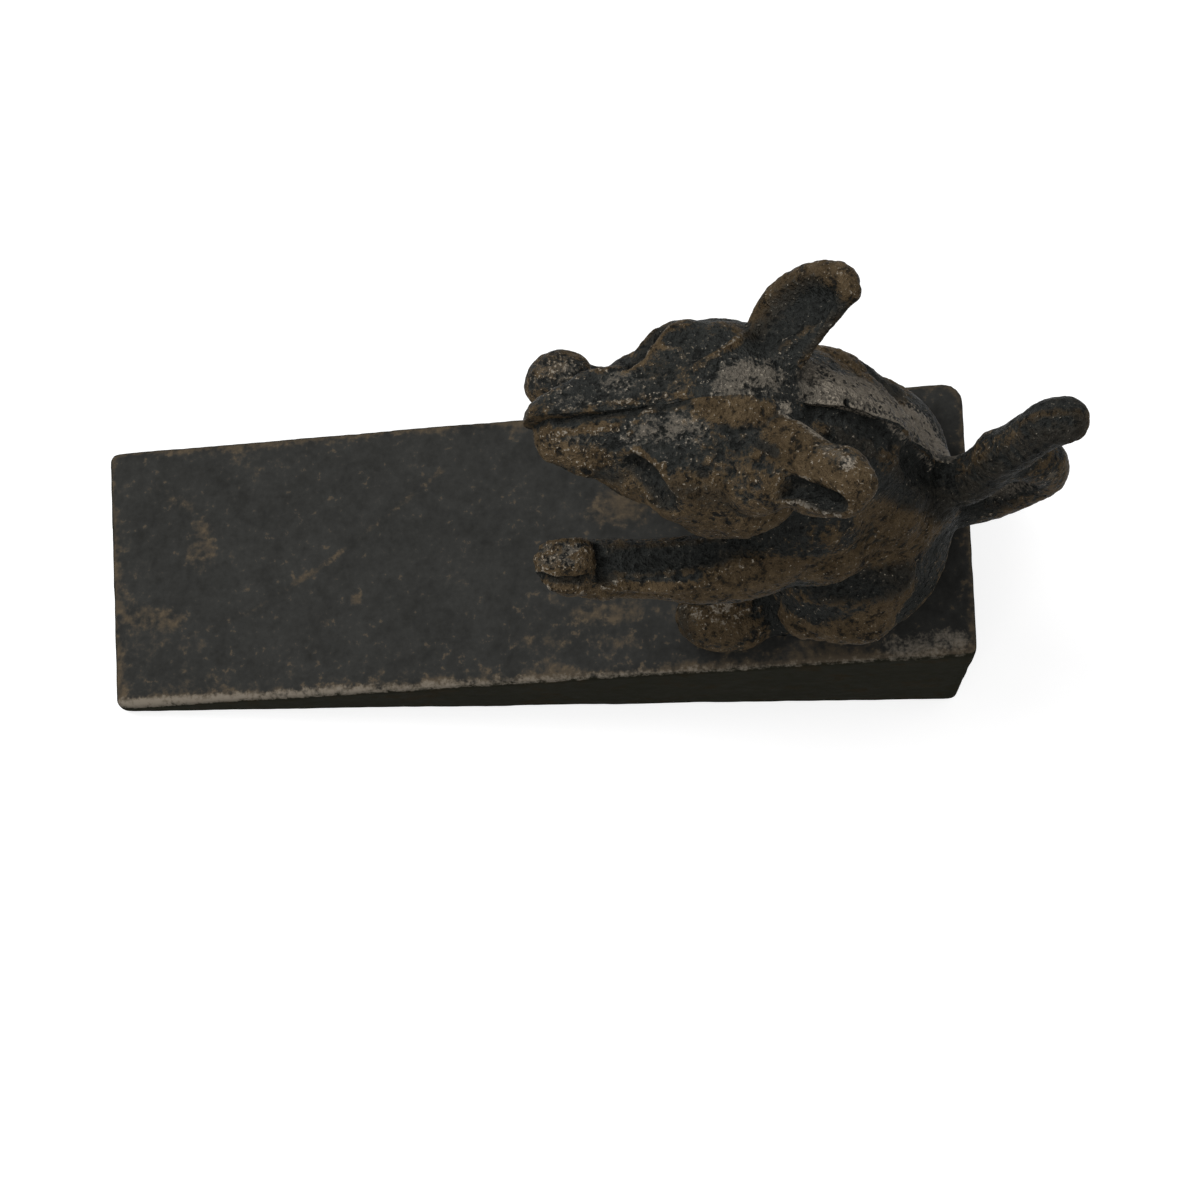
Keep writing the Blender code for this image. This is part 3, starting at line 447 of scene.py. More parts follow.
class StageSettings(bpy.types.PropertyGroup):
    floor: FloatProperty(
        name="Floor size", description="Edge length of the floor", default=12.0,
        subtype="DISTANCE", unit="LENGTH")
    key: power_setting("Key light", "Power of the large lamp overhead", 2.95)
    fill: power_setting("Fill light", "Power of the weaker lamp at the front", 0.90)
    back: power_setting("Back light", "Power of the weak lamp behind", 0.5)
    sky: FloatProperty(
        name="Room light", description="Strength of the even light all round", default=0.40)


# ---------------------------------------------------------------- hand tools
def deselect():
    """Leave edit mode and select nothing."""
    if bpy.context.object and bpy.context.object.mode != "OBJECT":
        bpy.ops.object.mode_set(mode="OBJECT")
    bpy.ops.object.select_all(action="DESELECT")


def pick(*objects):
    """Select these objects and make the first one active."""
    deselect()
    for obj in objects:
        obj.select_set(True)
    bpy.context.view_layer.objects.active = objects[0]


def apply_modifier(obj, kind, **values):
    """Add one modifier with these values and apply it."""
    pick(obj)
    modifier = obj.modifiers.new(kind.title(), kind)
    for key, value in values.items():
        setattr(modifier, key, value)
    bpy.ops.object.modifier_apply(modifier=modifier.name)


def add_ball(centre, sizes, turn=(0, 0, 0)):
    """A ball stretched to these half sizes."""
    deselect()
    bpy.ops.mesh.primitive_uv_sphere_add(
        segments=36, ring_count=24, radius=1.0, location=centre, rotation=turn, scale=sizes)
    bpy.ops.object.transform_apply(location=True, rotation=True, scale=True)
    return bpy.context.object


def add_leaf(centre, sizes, side):
    """A flat ball lying in the plane of an ear."""
    along = Vector((EAR_ALONG[0], side * EAR_ALONG[1], EAR_ALONG[2])).normalized()
    out = Vector((EAR_OUT[0], side * EAR_OUT[1], EAR_OUT[2]))
    out = (out - along * out.dot(along)).normalized()
    frame_of_ear = Matrix((along, out.cross(along), out)).transposed()
    return add_ball(on_mouse(centre, side), Vector(sizes) * MM, frame_of_ear.to_euler())


def add_bar(points, side):
    """A round bar through points with radii, closed by a ball at each end."""
    deselect()
    bpy.ops.curve.primitive_bezier_curve_add(location=(0, 0, 0))
    curve = bpy.context.object.data
    curve.dimensions = "3D"
    curve.bevel_depth = 1.0
    curve.bevel_resolution = 6
    curve.resolution_u = 12
    curve.use_fill_caps = True
    curve.splines.clear()
    spline = curve.splines.new("BEZIER")
    spline.bezier_points.add(len(points) - 1)
    for knot, (place, radius) in zip(spline.bezier_points, points):
        knot.co = on_mouse(place, side)
        knot.radius = radius * MM
        knot.handle_left_type = knot.handle_right_type = "AUTO"
    bpy.ops.object.convert(target="MESH")
    bar = bpy.context.object
    bpy.ops.object.mode_set(mode="EDIT")
    bpy.ops.mesh.select_all(action="SELECT")
    bpy.ops.mesh.remove_doubles(threshold=WELD)
    bpy.ops.mesh.normals_make_consistent(inside=False)
    bpy.ops.object.mode_set(mode="OBJECT")
    ends = (points[0], points[-1])
    return [bar] + [add_ball(on_mouse(place, side), (radius * MM,) * 3) for place, radius in ends]


def dress(obj, material):
    """Give a piece this material alone."""
    obj.data.materials.clear()
    obj.data.materials.append(material)


def join(pieces, name):
    """Make one object of several."""
    pick(*pieces)
    bpy.ops.object.join()
    obj = bpy.context.object
    obj.name = obj.data.name = name
    return obj


def duplicate(obj, name):
    """Copy an object with a mesh of its own."""
    pick(obj)
    bpy.ops.object.duplicate()
    copy = bpy.context.object
    copy.name = copy.data.name = name
    return copy


def cut(obj, point, normal):
    """Cut away what lies on the normal's side of a plane and close the cut."""
    pick(obj)
    bpy.ops.object.mode_set(mode="EDIT")
    bpy.ops.mesh.select_all(action="SELECT")
    bpy.ops.mesh.bisect(plane_co=point, plane_no=normal, use_fill=True,
                        clear_outer=True, clear_inner=False, threshold=1e-7)
    bpy.ops.object.mode_set(mode="OBJECT")


def drill(obj, start, end, radius):
    """Take a round bore out of a piece."""
    deselect()
    middle, run = (start + end) / 2, end - start
    bpy.ops.mesh.primitive_cylinder_add(
        vertices=32, radius=radius, depth=run.length, location=middle,
        rotation=run.to_track_quat("Z", "Y").to_euler())
    tool = bpy.context.object
    apply_modifier(obj, "BOOLEAN", operation="DIFFERENCE", object=tool, solver="EXACT")
    bpy.data.objects.remove(tool, do_unlink=True)


# ---------------------------------------------------------------- places
def top_plane():
    """A point and the normal of the wedge's sloping top."""
    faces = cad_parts["base_wedge"].data.polygons
    top = max((face for face in faces if face.normal.z > 0.9 and face.normal.x < -0.1),
              key=lambda face: face.area)
    return top.center.copy(), top.normal.copy()


def standing_point():
    """Where the mouse stands on the wedge's top, in the middle plane."""
    low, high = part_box("base_screw_right")
    x = (low[0] + high[0]) / 2 - SCREW_BEHIND
    point, normal = top_plane()
    return Vector((x, 0.0, point.z - (x - point.x) * normal.x / normal.z))


def on_mouse(place, side=1):
    """A place on the mouse, in metres from the middle of the underside."""
    return standing_point() + Vector((place[0], side * place[1], place[2])) * MM


# ---------------------------------------------------------------- brushes
def read(items, name, width, kind=np.int32):
    """One property of every item of a mesh, as rows of numbers."""
    values = np.empty(len(items) * width, dtype=kind)
    items.foreach_get(name, values)
    return values.reshape(-1, width)


class Skin:
    """A casting's mesh under the brush: its points, edges and outward normals."""

    def __init__(self, obj, side=0):
        self.obj, self.side = obj, side
        self.mesh = obj.data
        self.points = read(self.mesh.vertices, "co", 3, np.float32).astype(float)
        self.edges = read(self.mesh.edges, "vertices", 2)
        count = len(self.points)
        self.degree = np.maximum(np.bincount(self.edges.ravel(), minlength=count), 1)
        self.find_cuts()
        self.find_normals()

    def find_cuts(self):
        """Points on the middle plane and on the sole, which stay in those planes."""
        self.seam = np.zeros(len(self.points), dtype=bool)
        self.sole = np.zeros(len(self.points), dtype=bool)
        if self.side:
            self.seam = np.abs(self.points[:, 1]) < SEAM_GAP / 2 + WELD
            point, normal = (np.array(one) for one in top_plane())
            self.sole = np.abs((self.points - point) @ normal - SOLE_GAP) < WELD

    def find_normals(self):
        """Vertex normals of the cast skin, leaving out the flat cuts."""
        self.mesh.calc_loop_triangles()
        corners = read(self.mesh.loop_triangles, "vertices", 3)
        flat = self.seam[corners].all(axis=1) | self.sole[corners].all(axis=1)
        corners = corners[~flat]
        a, b, c = (self.points[corners[:, i]] for i in range(3))
        faces = np.cross(b - a, c - a)
        total = np.zeros_like(self.points)
        for i in range(3):
            for axis in range(3):
                total[:, axis] += np.bincount(
                    corners[:, i], weights=faces[:, axis], minlength=len(total))
        length = np.linalg.norm(total, axis=1)
        self.normals = total / np.maximum(length, 1e-15)[:, None]

    def averaged(self, values, passes):
        """Values averaged over the mesh edges."""
        a, b = self.edges.T
        flat = values.ndim == 1
        values = values.reshape(len(values), -1).copy()
        for _ in range(passes):
            total = values.copy()
            for column in range(values.shape[1]):
                line = values[:, column]
                total[:, column] += np.bincount(a, weights=line[b], minlength=len(values))
                total[:, column] += np.bincount(b, weights=line[a], minlength=len(values))
            values = total / (self.degree + 1)[:, None]
        return values[:, 0] if flat else values

    def shift(self, move):
        """Move the points, keeping the cuts flat."""
        move = move.copy()
        move[self.seam, 1] = 0.0
        normal = np.array(top_plane()[1])
        move[self.sole] -= np.outer(move[self.sole] @ normal, normal)
        self.points += move

    def to_path(self, path):
        """Distance of every point to a chain of straight runs."""
        stand = np.array(standing_point())
        flip = np.array((1.0, self.side or 1.0, 1.0))
        chain = [stand + np.array(place, dtype=float) * flip * MM for place in path]
        nearest = np.linalg.norm(self.points - chain[0], axis=1)
        for start, end in zip(chain[:-1], chain[1:]):
            run = end - start
            share = np.clip((self.points - start) @ run / (run @ run), 0.0, 1.0)
            there = start + share[:, None] * run
            nearest = np.minimum(nearest, np.linalg.norm(self.points - there, axis=1))
        return nearest

    def weight(self, path, radius):
        """1 on the path, 0 at the radius, on the side of the skin that faces the path."""
        distance = self.to_path(path)
        weight = np.clip(1.0 - (distance / (radius * MM)) ** 2, 0.0, 1.0) ** 2
        near = distance <= max(distance.min() + BRUSH_REACH, 0.4 * radius * MM)
        facing = self.normals[near].mean(axis=0)
        facing /= np.linalg.norm(facing)
        return weight * np.clip((self.normals @ facing + 0.3) / 0.6, 0.0, 1.0), facing

    def stroke(self, tool, radius, amount, path):
        """Raise, carve or move the skin along a path."""
        weight, facing = self.weight(path, radius)
        if tool == "move":
            flip = np.array((1.0, self.side or 1.0, 1.0))
            self.shift(weight[:, None] * np.array(amount) * flip * MM)
        else:
            height = amount * MM * (1.0 if tool == "raise" else -1.0)
            self.shift(weight[:, None] * height * facing)

    def ruffle(self, height, size, share=1.0, deep=0.0):
        """Uneven cast surface: smooth noise of this size, pushed down more than up."""
        moved = np.array([noise.noise(Vector(point) / size) for point in self.points])
        moved = moved - deep * np.maximum(-moved, 0.0)
        self.shift((moved * height * share)[:, None] * self.normals)

    def standing_out(self, passes):
        """How far each point stands out of its averaged neighbourhood."""
        return np.einsum("ij,ij->i", self.points - self.averaged(self.points, passes),
                         self.normals)

    def wear(self, values, radius, strength, path):
        """Values of a layer with wear brushed in along a path."""
        weight = self.weight(path, radius * WEAR_SPREAD)[0]
        return np.maximum(values, weight ** 0.6 * strength)

    def paint(self, layers):
        """Store the layers on the mesh for the materials to read."""
        for name, values in layers.items():
            layer = self.mesh.attributes.new(name, "FLOAT", "POINT")
            layer.data.foreach_set("value", np.clip(values, 0.0, 1.0).astype(np.float32))

    def save(self):
        """Put the moved points back into the mesh."""
        self.mesh.vertices.foreach_set("co", self.points.astype(np.float32).ravel())
        self.mesh.update()


# ---------------------------------------------------------------- iron
class Iron:
    """Builds one iron material from nodes."""

    def __init__(self, name):
        self.material = bpy.data.materials.new(name)
        self.material.use_nodes = True
        self.tree = self.material.node_tree
        self.shader = self.tree.nodes["Principled BSDF"]
        self.place = self.add("ShaderNodeTexCoord").outputs["Object"]

    def add(self, kind, **values):
        """A new node of this kind."""
        node = self.tree.nodes.new(kind)
        for key, value in values.items():
            setattr(node, key, value)
        return node

    def feed(self, socket, value):
        """Link a socket, or set it to a plain value."""
        if isinstance(value, bpy.types.NodeSocket):
            self.tree.links.new(value, socket)
        else:
            socket.default_value = value

    def grain(self, size):
        """Noise spread from 0 to 1 whose lumps are about this size, in metres."""
        node = self.add("ShaderNodeTexNoise")
        self.feed(node.inputs["Vector"], self.place)
        node.inputs["Scale"].default_value = 1.0 / size
        node.inputs["Detail"].default_value = 3.0
        node.inputs["Roughness"].default_value = 0.6
        return self.step(node.outputs["Fac"], 0.30, 0.70, kind="LINEAR")

    def painted(self, name):
        """The wear painted on the mesh under this name."""
        return self.add("ShaderNodeAttribute", attribute_name=name).outputs["Fac"]

    def math(self, operation, a, b):
        """The result of one operation on two values."""
        node = self.add("ShaderNodeMath", operation=operation)
        self.feed(node.inputs[0], a)
        self.feed(node.inputs[1], b)
        return node.outputs[0]

    def mixed(self, *parts):
        """Sum of (value, share) pairs."""
        total = None
        for value, share in parts:
            part = self.math("MULTIPLY", value, share)
            total = part if total is None else self.math("ADD", total, part)
        return total

    def step(self, value, low, high, top=1.0, kind="SMOOTHSTEP"):
        """A rise from 0 below low to top above high."""
        node = self.add("ShaderNodeMapRange", interpolation_type=kind)
        self.feed(node.inputs["Value"], value)
        node.inputs["From Min"].default_value = low
        node.inputs["From Max"].default_value = high
        node.inputs["To Min"].default_value = 0.0
        node.inputs["To Max"].default_value = top
        return node.outputs["Result"]

    def over(self, share, below, above):
        """The colour above laid over the colour below."""
        node = self.add("ShaderNodeMix", data_type="RGBA")
        self.feed(node.inputs[0], share)
        for socket, colour in ((node.inputs[6], below), (node.inputs[7], above)):
            if not isinstance(colour, bpy.types.NodeSocket):
                colour = (*colour[:3], 1.0)
            self.feed(socket, colour)
        return node.outputs[2]

    def laid(self, colour, parts, low, high, top, above):
        """The colour with another laid over it where the parts add up high, and its share."""
        share = self.step(self.mixed(*parts), low, high, top)
        return self.over(share, colour, above), share

    def finish(self, colour, roughness, height, depth, strength, specular):
        """Set the shader, with a bump of this depth in metres."""
        self.feed(self.shader.inputs["Base Color"], colour)
        self.feed(self.shader.inputs["Roughness"], roughness)
        self.shader.inputs["Specular IOR Level"].default_value = specular
        bump = self.add("ShaderNodeBump")
        bump.inputs["Strength"].default_value = strength
        bump.inputs["Distance"].default_value = depth
        self.feed(bump.inputs["Height"], height)
        self.feed(self.shader.inputs["Normal"], bump.outputs["Normal"])
        return self.material


def mouse_iron(finish):
    """Blackened cast iron, rubbed brown on what stands out, pale on its edges, with painted shade
    in its hollows and painted glints.
    """
    iron = Iron("blackened_cast_iron")
    patch, mid, fine, salt = (iron.grain(size * MM) for size in (6.0, 2.0, 0.9, 0.45))
    rub, bare, dust, soot = (iron.painted(name) for name in ("rub", "bare", "dust", "soot"))
    black = Vector(finish.black)
    brown = Vector(finish.brown)
    pale = Vector(finish.pale)

    colour = iron.over(iron.mixed((patch, 0.4), (fine, 0.6)), black * 0.6, black * 1.7)
    # dust smeared over the black, with painted highlight on the right back and the tail
    colour, smeared = iron.laid(
        colour, ((patch, 0.50), (mid, 0.25), (fine, 0.45), (salt, 0.20), (dust, 0.75)),
        0.95, 1.35, 0.70, pale * 0.75)
    # brown where the black is rubbed through
    browns = iron.over(iron.mixed((fine, 0.3), (mid, 0.40), (patch, 0.30)),
                       brown * 0.10, brown * 1.35 + pale * 0.13)
    colour, rubbed = iron.laid(
        colour, ((rub, 1.0), (patch, 0.30), (mid, 0.35), (fine, 0.40), (salt, 0.30),
                 (dust, -0.45)), 0.88, 1.38, 1.0, browns)
    # pale bare edges
    colour = iron.laid(colour, ((bare, 0.9), (mid, 0.35), (fine, 0.45), (salt, 0.35)),
                       1.05, 1.30, 0.9, pale)[0]
    # painted shade with some soot in the hollows, black pits, and bright specks painted as glints
    blacks = iron.over(fine, black * 0.5, black * 1.25)
    colour = iron.laid(colour, ((soot, 1.0), (mid, 0.35), (fine, 0.35)),
                       0.65, 1.20, 0.85, blacks)[0]
    colour = iron.laid(colour, ((mid, 0.55), (fine, 0.30), (salt, 0.15)),
                       0.44, 0.22, 0.8, black * 0.4)[0]
    # bright specks: painted glints, thickest where dust, bare edges and rub lie
    colour = iron.laid(
        colour, ((salt, 0.75), (fine, 0.35), (rub, 0.05), (dust, 0.16), (bare, 0.14),
                 (soot, -0.06)), 0.94, 1.10, 0.9, pale * 1.4)[0]

    roughness = iron.mixed((mid, 0.15), (fine, 0.12), (smeared, 0.35), (rubbed, 0.06))
    roughness = iron.math("ADD", roughness, 0.20)
    height = iron.mixed((mid, 0.30), (fine, 0.45), (salt, 0.25))
    return iron.finish(colour, roughness, height, 0.85 * MM, 1.0, 0.008)


def wedge_iron(finish):
    """Smooth dark iron with tan freckles and a pale front edge; sides darkened with grime and
    painted shade.
    """
    iron = Iron("wedge_cast_iron")
    broad, patch, mid, fine, salt = (
        iron.grain(size * MM) for size in (30.0, 7.0, 2.4, 1.1, 0.5))
    rub, bare, side = (iron.painted(name) for name in ("rub", "bare", "side"))
    top = Vector(finish.wedge)
    grime_and_shade = Vector(finish.grime_and_shade)
    brown = Vector(finish.brown)
    pale = Vector(finish.pale)
    tan = brown * 0.55 + pale * 0.20

    mottle = iron.mixed((patch, 0.3), (mid, 0.4), (fine, 0.3))
    colour = iron.over(mottle, top * 0.60, top * 1.45)
    # tan freckles and dots on the top
    colour, freckles = iron.laid(
        colour, ((rub, 0.60), (broad, 0.30), (patch, 0.30), (mid, 0.45), (fine, 0.35)),
        0.90, 1.40, 0.8, tan * 0.85)
    colour = iron.laid(colour, ((fine, 0.7), (mid, 0.35), (rub, 0.20), (bare, 0.10)),
                       0.78, 0.98, 0.6, tan)[0]
    # grimy sides with faint rust, darker than the top as painted shade
    shaded_flank = iron.over(mottle, grime_and_shade * 0.7, grime_and_shade * 1.3)
    shaded_flank = iron.laid(shaded_flank, ((patch, 0.6), (mid, 0.4)), 0.55, 0.85, 0.4, brown * 0.3)[0]
    colour = iron.over(iron.step(side, 0.2, 0.8), colour, shaded_flank)
    # pale edge along the front
    colour = iron.laid(colour, ((bare, 0.9), (mid, 0.30), (fine, 0.40), (salt, 0.30)),
                       0.85, 1.45, 0.80, pale * 0.9)[0]

    roughness = iron.mixed((mid, 0.12), (fine, 0.08), (freckles, 0.12), (side, 0.30))
    roughness = iron.math("ADD", roughness, 0.36)
    height = iron.mixed((mid, 0.45), (fine, 0.35), (salt, 0.20))
    return iron.finish(colour, roughness, height, 0.07 * MM, 0.8, 0.006)


def screw_steel():
    """Dull aged steel, mottled dark and light."""
    iron = Iron("dull_screw_steel")
    mid, fine = iron.grain(1.2 * MM), iron.grain(0.3 * MM)
    colour = iron.over(mid, (0.10, 0.095, 0.088), (0.22, 0.21, 0.19))
    iron.shader.inputs["Metallic"].default_value = 1.0
    roughness = iron.math("ADD", iron.math("MULTIPLY", fine, 0.3), 0.3)
    return iron.finish(colour, roughness, fine, 0.1 * MM, 0.3, 0.5)


# ---------------------------------------------------------------- mouse
def blend_forms(pieces, name, grid, passes):
    """Melt several closed forms into one soft skin."""
    skin = join(pieces, name)
    apply_modifier(skin, "REMESH", mode="VOXEL", voxel_size=grid)
    apply_modifier(skin, "SMOOTH", factor=0.5, iterations=passes)
    return skin


def sides_of(place):
    """The right side alone for a place in the middle plane, else both sides."""
    return (1,) if place[1] == 0 else (1, -1)


def balls(forms):
    """Balls for a table of centres and half sizes, on both sides where they stand off."""
    made = []
    for centre, sizes in forms:
        made += [add_ball(on_mouse(centre, side), Vector(sizes) * MM)
                 for side in sides_of(centre)]
    return made


def mouse_skin(settings):
    """The whole mouse in one skin: soft torso, then limbs, then ears."""
    torso = blend_forms(balls(TORSO), "torso", 1.1 * MM, 18)
    pieces = [torso] + balls(LIMB_ENDS)
    for points in LIMBS:
        for side in sides_of(points[0][0]):
            pieces += add_bar(points, side)
    pieces = [blend_forms(pieces, "body", 0.7 * MM, 8)]
    for points in FLASH:
        pieces += add_bar(points, 1)
    for (leaves, rims), side in ((RIGHT_EAR, 1), (LEFT_EAR, -1)):
        pieces += [add_leaf(centre, sizes, side) for centre, sizes in leaves]
        for rim in rims:
            pieces += add_bar(rim, side)
    return blend_forms(pieces, "mouse_skin", settings.grid, settings.soften)


def half_casting(skin, name):
    """One half of the skin, cut in the middle plane and at the sole."""
    half = duplicate(skin, "mouse_" + name)
    side = SIDES[name]
    cut(half, (0, side * SEAM_GAP / 2, 0), (0, -side, 0))
    point, normal = top_plane()
    cut(half, point + normal * SOLE_GAP, -normal)
    return half


def work_over(half, name, settings):
    """Brush the details into a half casting and paint its wear, dust and shade."""
    skin = Skin(half, SIDES[name])
    for tool, casting, radius, amount, path in STROKES:
        if casting in ("both", name):
            skin.stroke(tool, radius, amount, path)
    skin.find_normals()
    # cast skin: slow swell, lumps, grain, then coarser pits where it is rough
    skin.ruffle(0.30 * MM, 7 * MM)
    skin.ruffle(settings.grain * 1.2, 2.0 * MM, deep=0.4)
    skin.ruffle(settings.grain * 1.4, 0.9 * MM, deep=0.8)
    rough = np.zeros(len(skin.points))
    for casting, radius, path in ROUGH:
        if casting in ("both", name):
            rough = np.maximum(rough, skin.weight(path, radius)[0] ** 0.5)
    skin.ruffle(settings.grain * 4.0, 1.5 * MM, rough, deep=0.8)
    skin.save()

    # wear that follows the shape: whole forms that stand out, and sharp edges; painted shade
    # where it sinks in
    skin.find_normals()
    broad = skin.standing_out(60) / (0.5 * MM)
    close = skin.standing_out(5) / (0.055 * MM)
    handled = 0.6 if name == "right" else 1.0        # the right casting is less rubbed
    layers = {"rub": (broad * 0.75 + close * 0.10) * handled,
              "bare": close * 0.15 + broad * 0.1 - 0.12,
              "dust": np.zeros(len(broad)),
              # painted shade where the skin sinks in
              "soot": -broad * 0.9 - close * 0.10}
    for layer, places in WEAR.items():
        layers[layer] = np.clip(layers[layer], 0.0, 1.0)
        for casting, *wear in places:
            if casting in ("both", name):
                layers[layer] = skin.wear(layers[layer], *wear)
    skin.paint(layers)


def drill_mouse(half, side):
    """Bores for the base screw and the cross screw, and the well of its head."""
    past_sole, past_seam, past_flank = 4 * MM, 1 * MM, 24 * MM
    low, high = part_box("base_screw_right" if side > 0 else "base_screw_left")
    x, y, z = (low + high) / 2
    drill(half, Vector((x, y, z - past_sole)), Vector((x, y, high.z + BORE_ROOM * 2)),
          SHANK_RADIUS)
    low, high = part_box("cross_screw")
    x, y, z = (low + high) / 2
    if side > 0:
        seat = high.y - HEAD_WELL
        drill(half, Vector((x, -past_seam, z)), Vector((x, seat + 0.5 * MM, z)), SHANK_RADIUS)
        drill(half, Vector((x, seat, z)), Vector((x, past_flank, z)),
              (high.z - low.z) / 2 + BORE_ROOM)
    else:
        drill(half, Vector((x, past_seam, z)), Vector((x, low.y - BORE_ROOM * 2, z)),
              SHANK_RADIUS)


class PAPERWEIGHT_OT_mouse(bpy.types.Operator):
    """Model the two half castings of the mouse"""
    bl_idname = "paperweight.mouse"
    bl_label = "Model the mouse"
    bl_options = {"REGISTER", "UNDO"}

    def execute(self, context):
        settings = context.scene.paperweight_mouse
        skin = mouse_skin(settings)
        iron = mouse_iron(context.scene.paperweight_finish)
        for name in SIDES:
            half = half_casting(skin, name)
            work_over(half, name, settings)
            drill_mouse(half, SIDES[name])
            dress(half, iron)
            pick(half)
            bpy.ops.object.shade_smooth_by_angle(angle=math.radians(50))
            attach(half, "root")
            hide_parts("mouse_" + name + "_half")
        bpy.data.objects.remove(skin, do_unlink=True)
        return {"FINISHED"}


# ---------------------------------------------------------------- wedge
# Rubbed and worn places on the wedge, in millimetres from the middle of its underside:
# for each painted layer, radius, strength and path.
WEDGE_WEAR = {
    "rub": (
        (2.6, 0.8, ((-72.0, -7.0, 6.0), (-64.0, -8.0, 7.0))),
        (3.0, 0.6, ((-60.0, 2.0, 8.5), (-59.0, 8.0, 8.6))),
        (2.0, 0.6, ((-68.0, 16.0, 7.0), (-62.0, 12.0, 8.0))),
        (1.0, 0.7, ((-69.0, 10.0, 6.8), (-62.0, 13.0, 8.2), (-58.0, 18.0, 9.0))),
        (0.8, 0.7, ((-63.0, -12.0, 7.6), (-50.0, -8.0, 10.0), (-36.0, 0.0, 13.0),
                    (-16.0, 15.0, 17.6))),
        (2.2, 0.7, ((-37.0, -10.0, 12.6),)),
        (1.6, 0.7, ((-31.0, -7.0, 14.0),)),
        (3.5, 0.8, ((8.0, -12.6, 23.0), (16.0, -12.6, 24.6))),
        (3.0, 0.6, ((-3.0, -16.0, 20.5), (18.0, -17.5, 25.2))),
        (4.5, 0.9, ((13.0, 6.0, 24.5), (17.0, 6.5, 25.4))),
        (7.0, 0.45, ((0.0, -14.0, 21.0), (16.0, -14.0, 24.6))),
    ),
    "bare": (
        (3.0, 0.8, ((60.0, -22.0, 34.0), (70.0, -21.0, 36.0))),
        (1.8, 1.0, ((63.5, -13.5, 35.0),)),
        (1.2, 0.8, ((74.0, -17.0, 37.0),)),
    ),
}


def wedge_casting(settings):
    """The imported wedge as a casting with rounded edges."""
    wedge = duplicate(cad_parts["base_wedge"], "wedge_casting")
    wedge.parent = None
    for key in list(wedge.keys()):
        del wedge[key]
    bpy.ops.object.mode_set(mode="EDIT")
    bpy.ops.mesh.select_all(action="SELECT")
    bpy.ops.mesh.remove_doubles(threshold=WELD)
    bpy.ops.object.mode_set(mode="OBJECT")
    apply_modifier(wedge, "REMESH", mode="VOXEL", voxel_size=settings.grid)
    apply_modifier(wedge, "SMOOTH", factor=0.5, iterations=settings.soften)
    return wedge


def work_over_wedge(wedge, settings):
    """Give the wedge its uneven cast faces and paint its wear and the shade on its sides."""
    skin = Skin(wedge)
    edges = skin.standing_out(14) / (0.20 * MM)
    skin.ruffle(settings.swell, 14 * MM)
    skin.ruffle(settings.swell * 0.30, 2.4 * MM, deep=0.6)
    skin.save()
    x, y = skin.points.T[:2]
    up = skin.normals[:, 2]
    low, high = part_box("base_wedge")
    along = (x - low[0]) / (high[0] - low[0])
    # a bare strip along the front edge, narrower towards the thick end
    strip = np.clip((low[1] + (2.6 - 0.6 * along) * MM - y) / (1.8 * MM), 0.0, 1.0)
    strip = strip * np.clip(up * 3.0, 0.0, 1.0)
    near_front = np.clip((low[1] + 15 * MM - y) / (12 * MM), 0.0, 1.0)
    # side: the faces that don't face up, painted darker as shade with grime
    layers = {"side": np.clip((0.80 - up) / 0.35, 0.0, 1.0),
              "rub": np.clip(edges * 0.35, 0.0, 1.0) + 0.30 * near_front,
              "bare": np.clip(strip * (1.0 - 0.5 * along), 0.0, 1.0)}
    stand = np.array(standing_point()) / MM
    for layer, places in WEDGE_WEAR.items():
        for radius, strength, path in places:
            path = [np.array(place) - stand for place in path]
            layers[layer] = skin.wear(layers[layer], radius, strength, path)
    skin.paint(layers)


class PAPERWEIGHT_OT_wedge(bpy.types.Operator):
    """Model the hollow wedge with its cast faces and worn edges"""
    bl_idname = "paperweight.wedge"
    bl_label = "Model the wedge"
    bl_options = {"REGISTER", "UNDO"}

    def execute(self, context):
        settings = context.scene.paperweight_wedge
        wedge = wedge_casting(settings)
        work_over_wedge(wedge, settings)
        dress(wedge, wedge_iron(context.scene.paperweight_finish))
        pick(wedge)
        bpy.ops.object.shade_smooth()
        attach(wedge, "root")
        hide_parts("base_wedge")
        return {"FINISHED"}


class PAPERWEIGHT_OT_screws(bpy.types.Operator):
    """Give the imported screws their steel"""
    bl_idname = "paperweight.screws"
    bl_label = "Finish the screws"

    def execute(self, context):
        steel = screw_steel()
        for name in ("base_screw_left", "base_screw_right", "cross_screw"):
            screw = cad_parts[name]
            dress(screw, steel)
        return {"FINISHED"}


# ---------------------------------------------------------------- stage
CAMERA_PLACE = (0.00475, -0.1087, 0.4205)
CAMERA_TURN = (13.96, -0.70, -1.04)          # degrees about X, Y and Z
LENS = 72                                    # millimetres, on a sensor 36 wide
# name, place, what it is turned to, edge length; the power is a setting of the same name
LAMPS = (
    ("key", (-0.30, 0.15, 0.60), (0, 0, 0.03), 0.30),
    ("fill", (-0.14, -0.50, 0.48), (0.03, 0, 0.04), 0.40),
    ("back", (0.58, 0.12, 0.26), (0.05, 0, 0.05), 0.40),
)


def lamp(name, place, aim, size, power):
    """A square lamp at a place, turned towards its aim."""
    deselect()
    bpy.ops.object.light_add(type="AREA", location=place)
    light = bpy.context.object
    light.name = name
    light.data.shape = "SQUARE"
    light.data.size = size
    light.data.energy = power
    light.rotation_euler = (Vector(aim) - Vector(place)).to_track_quat("-Z", "Y").to_euler()


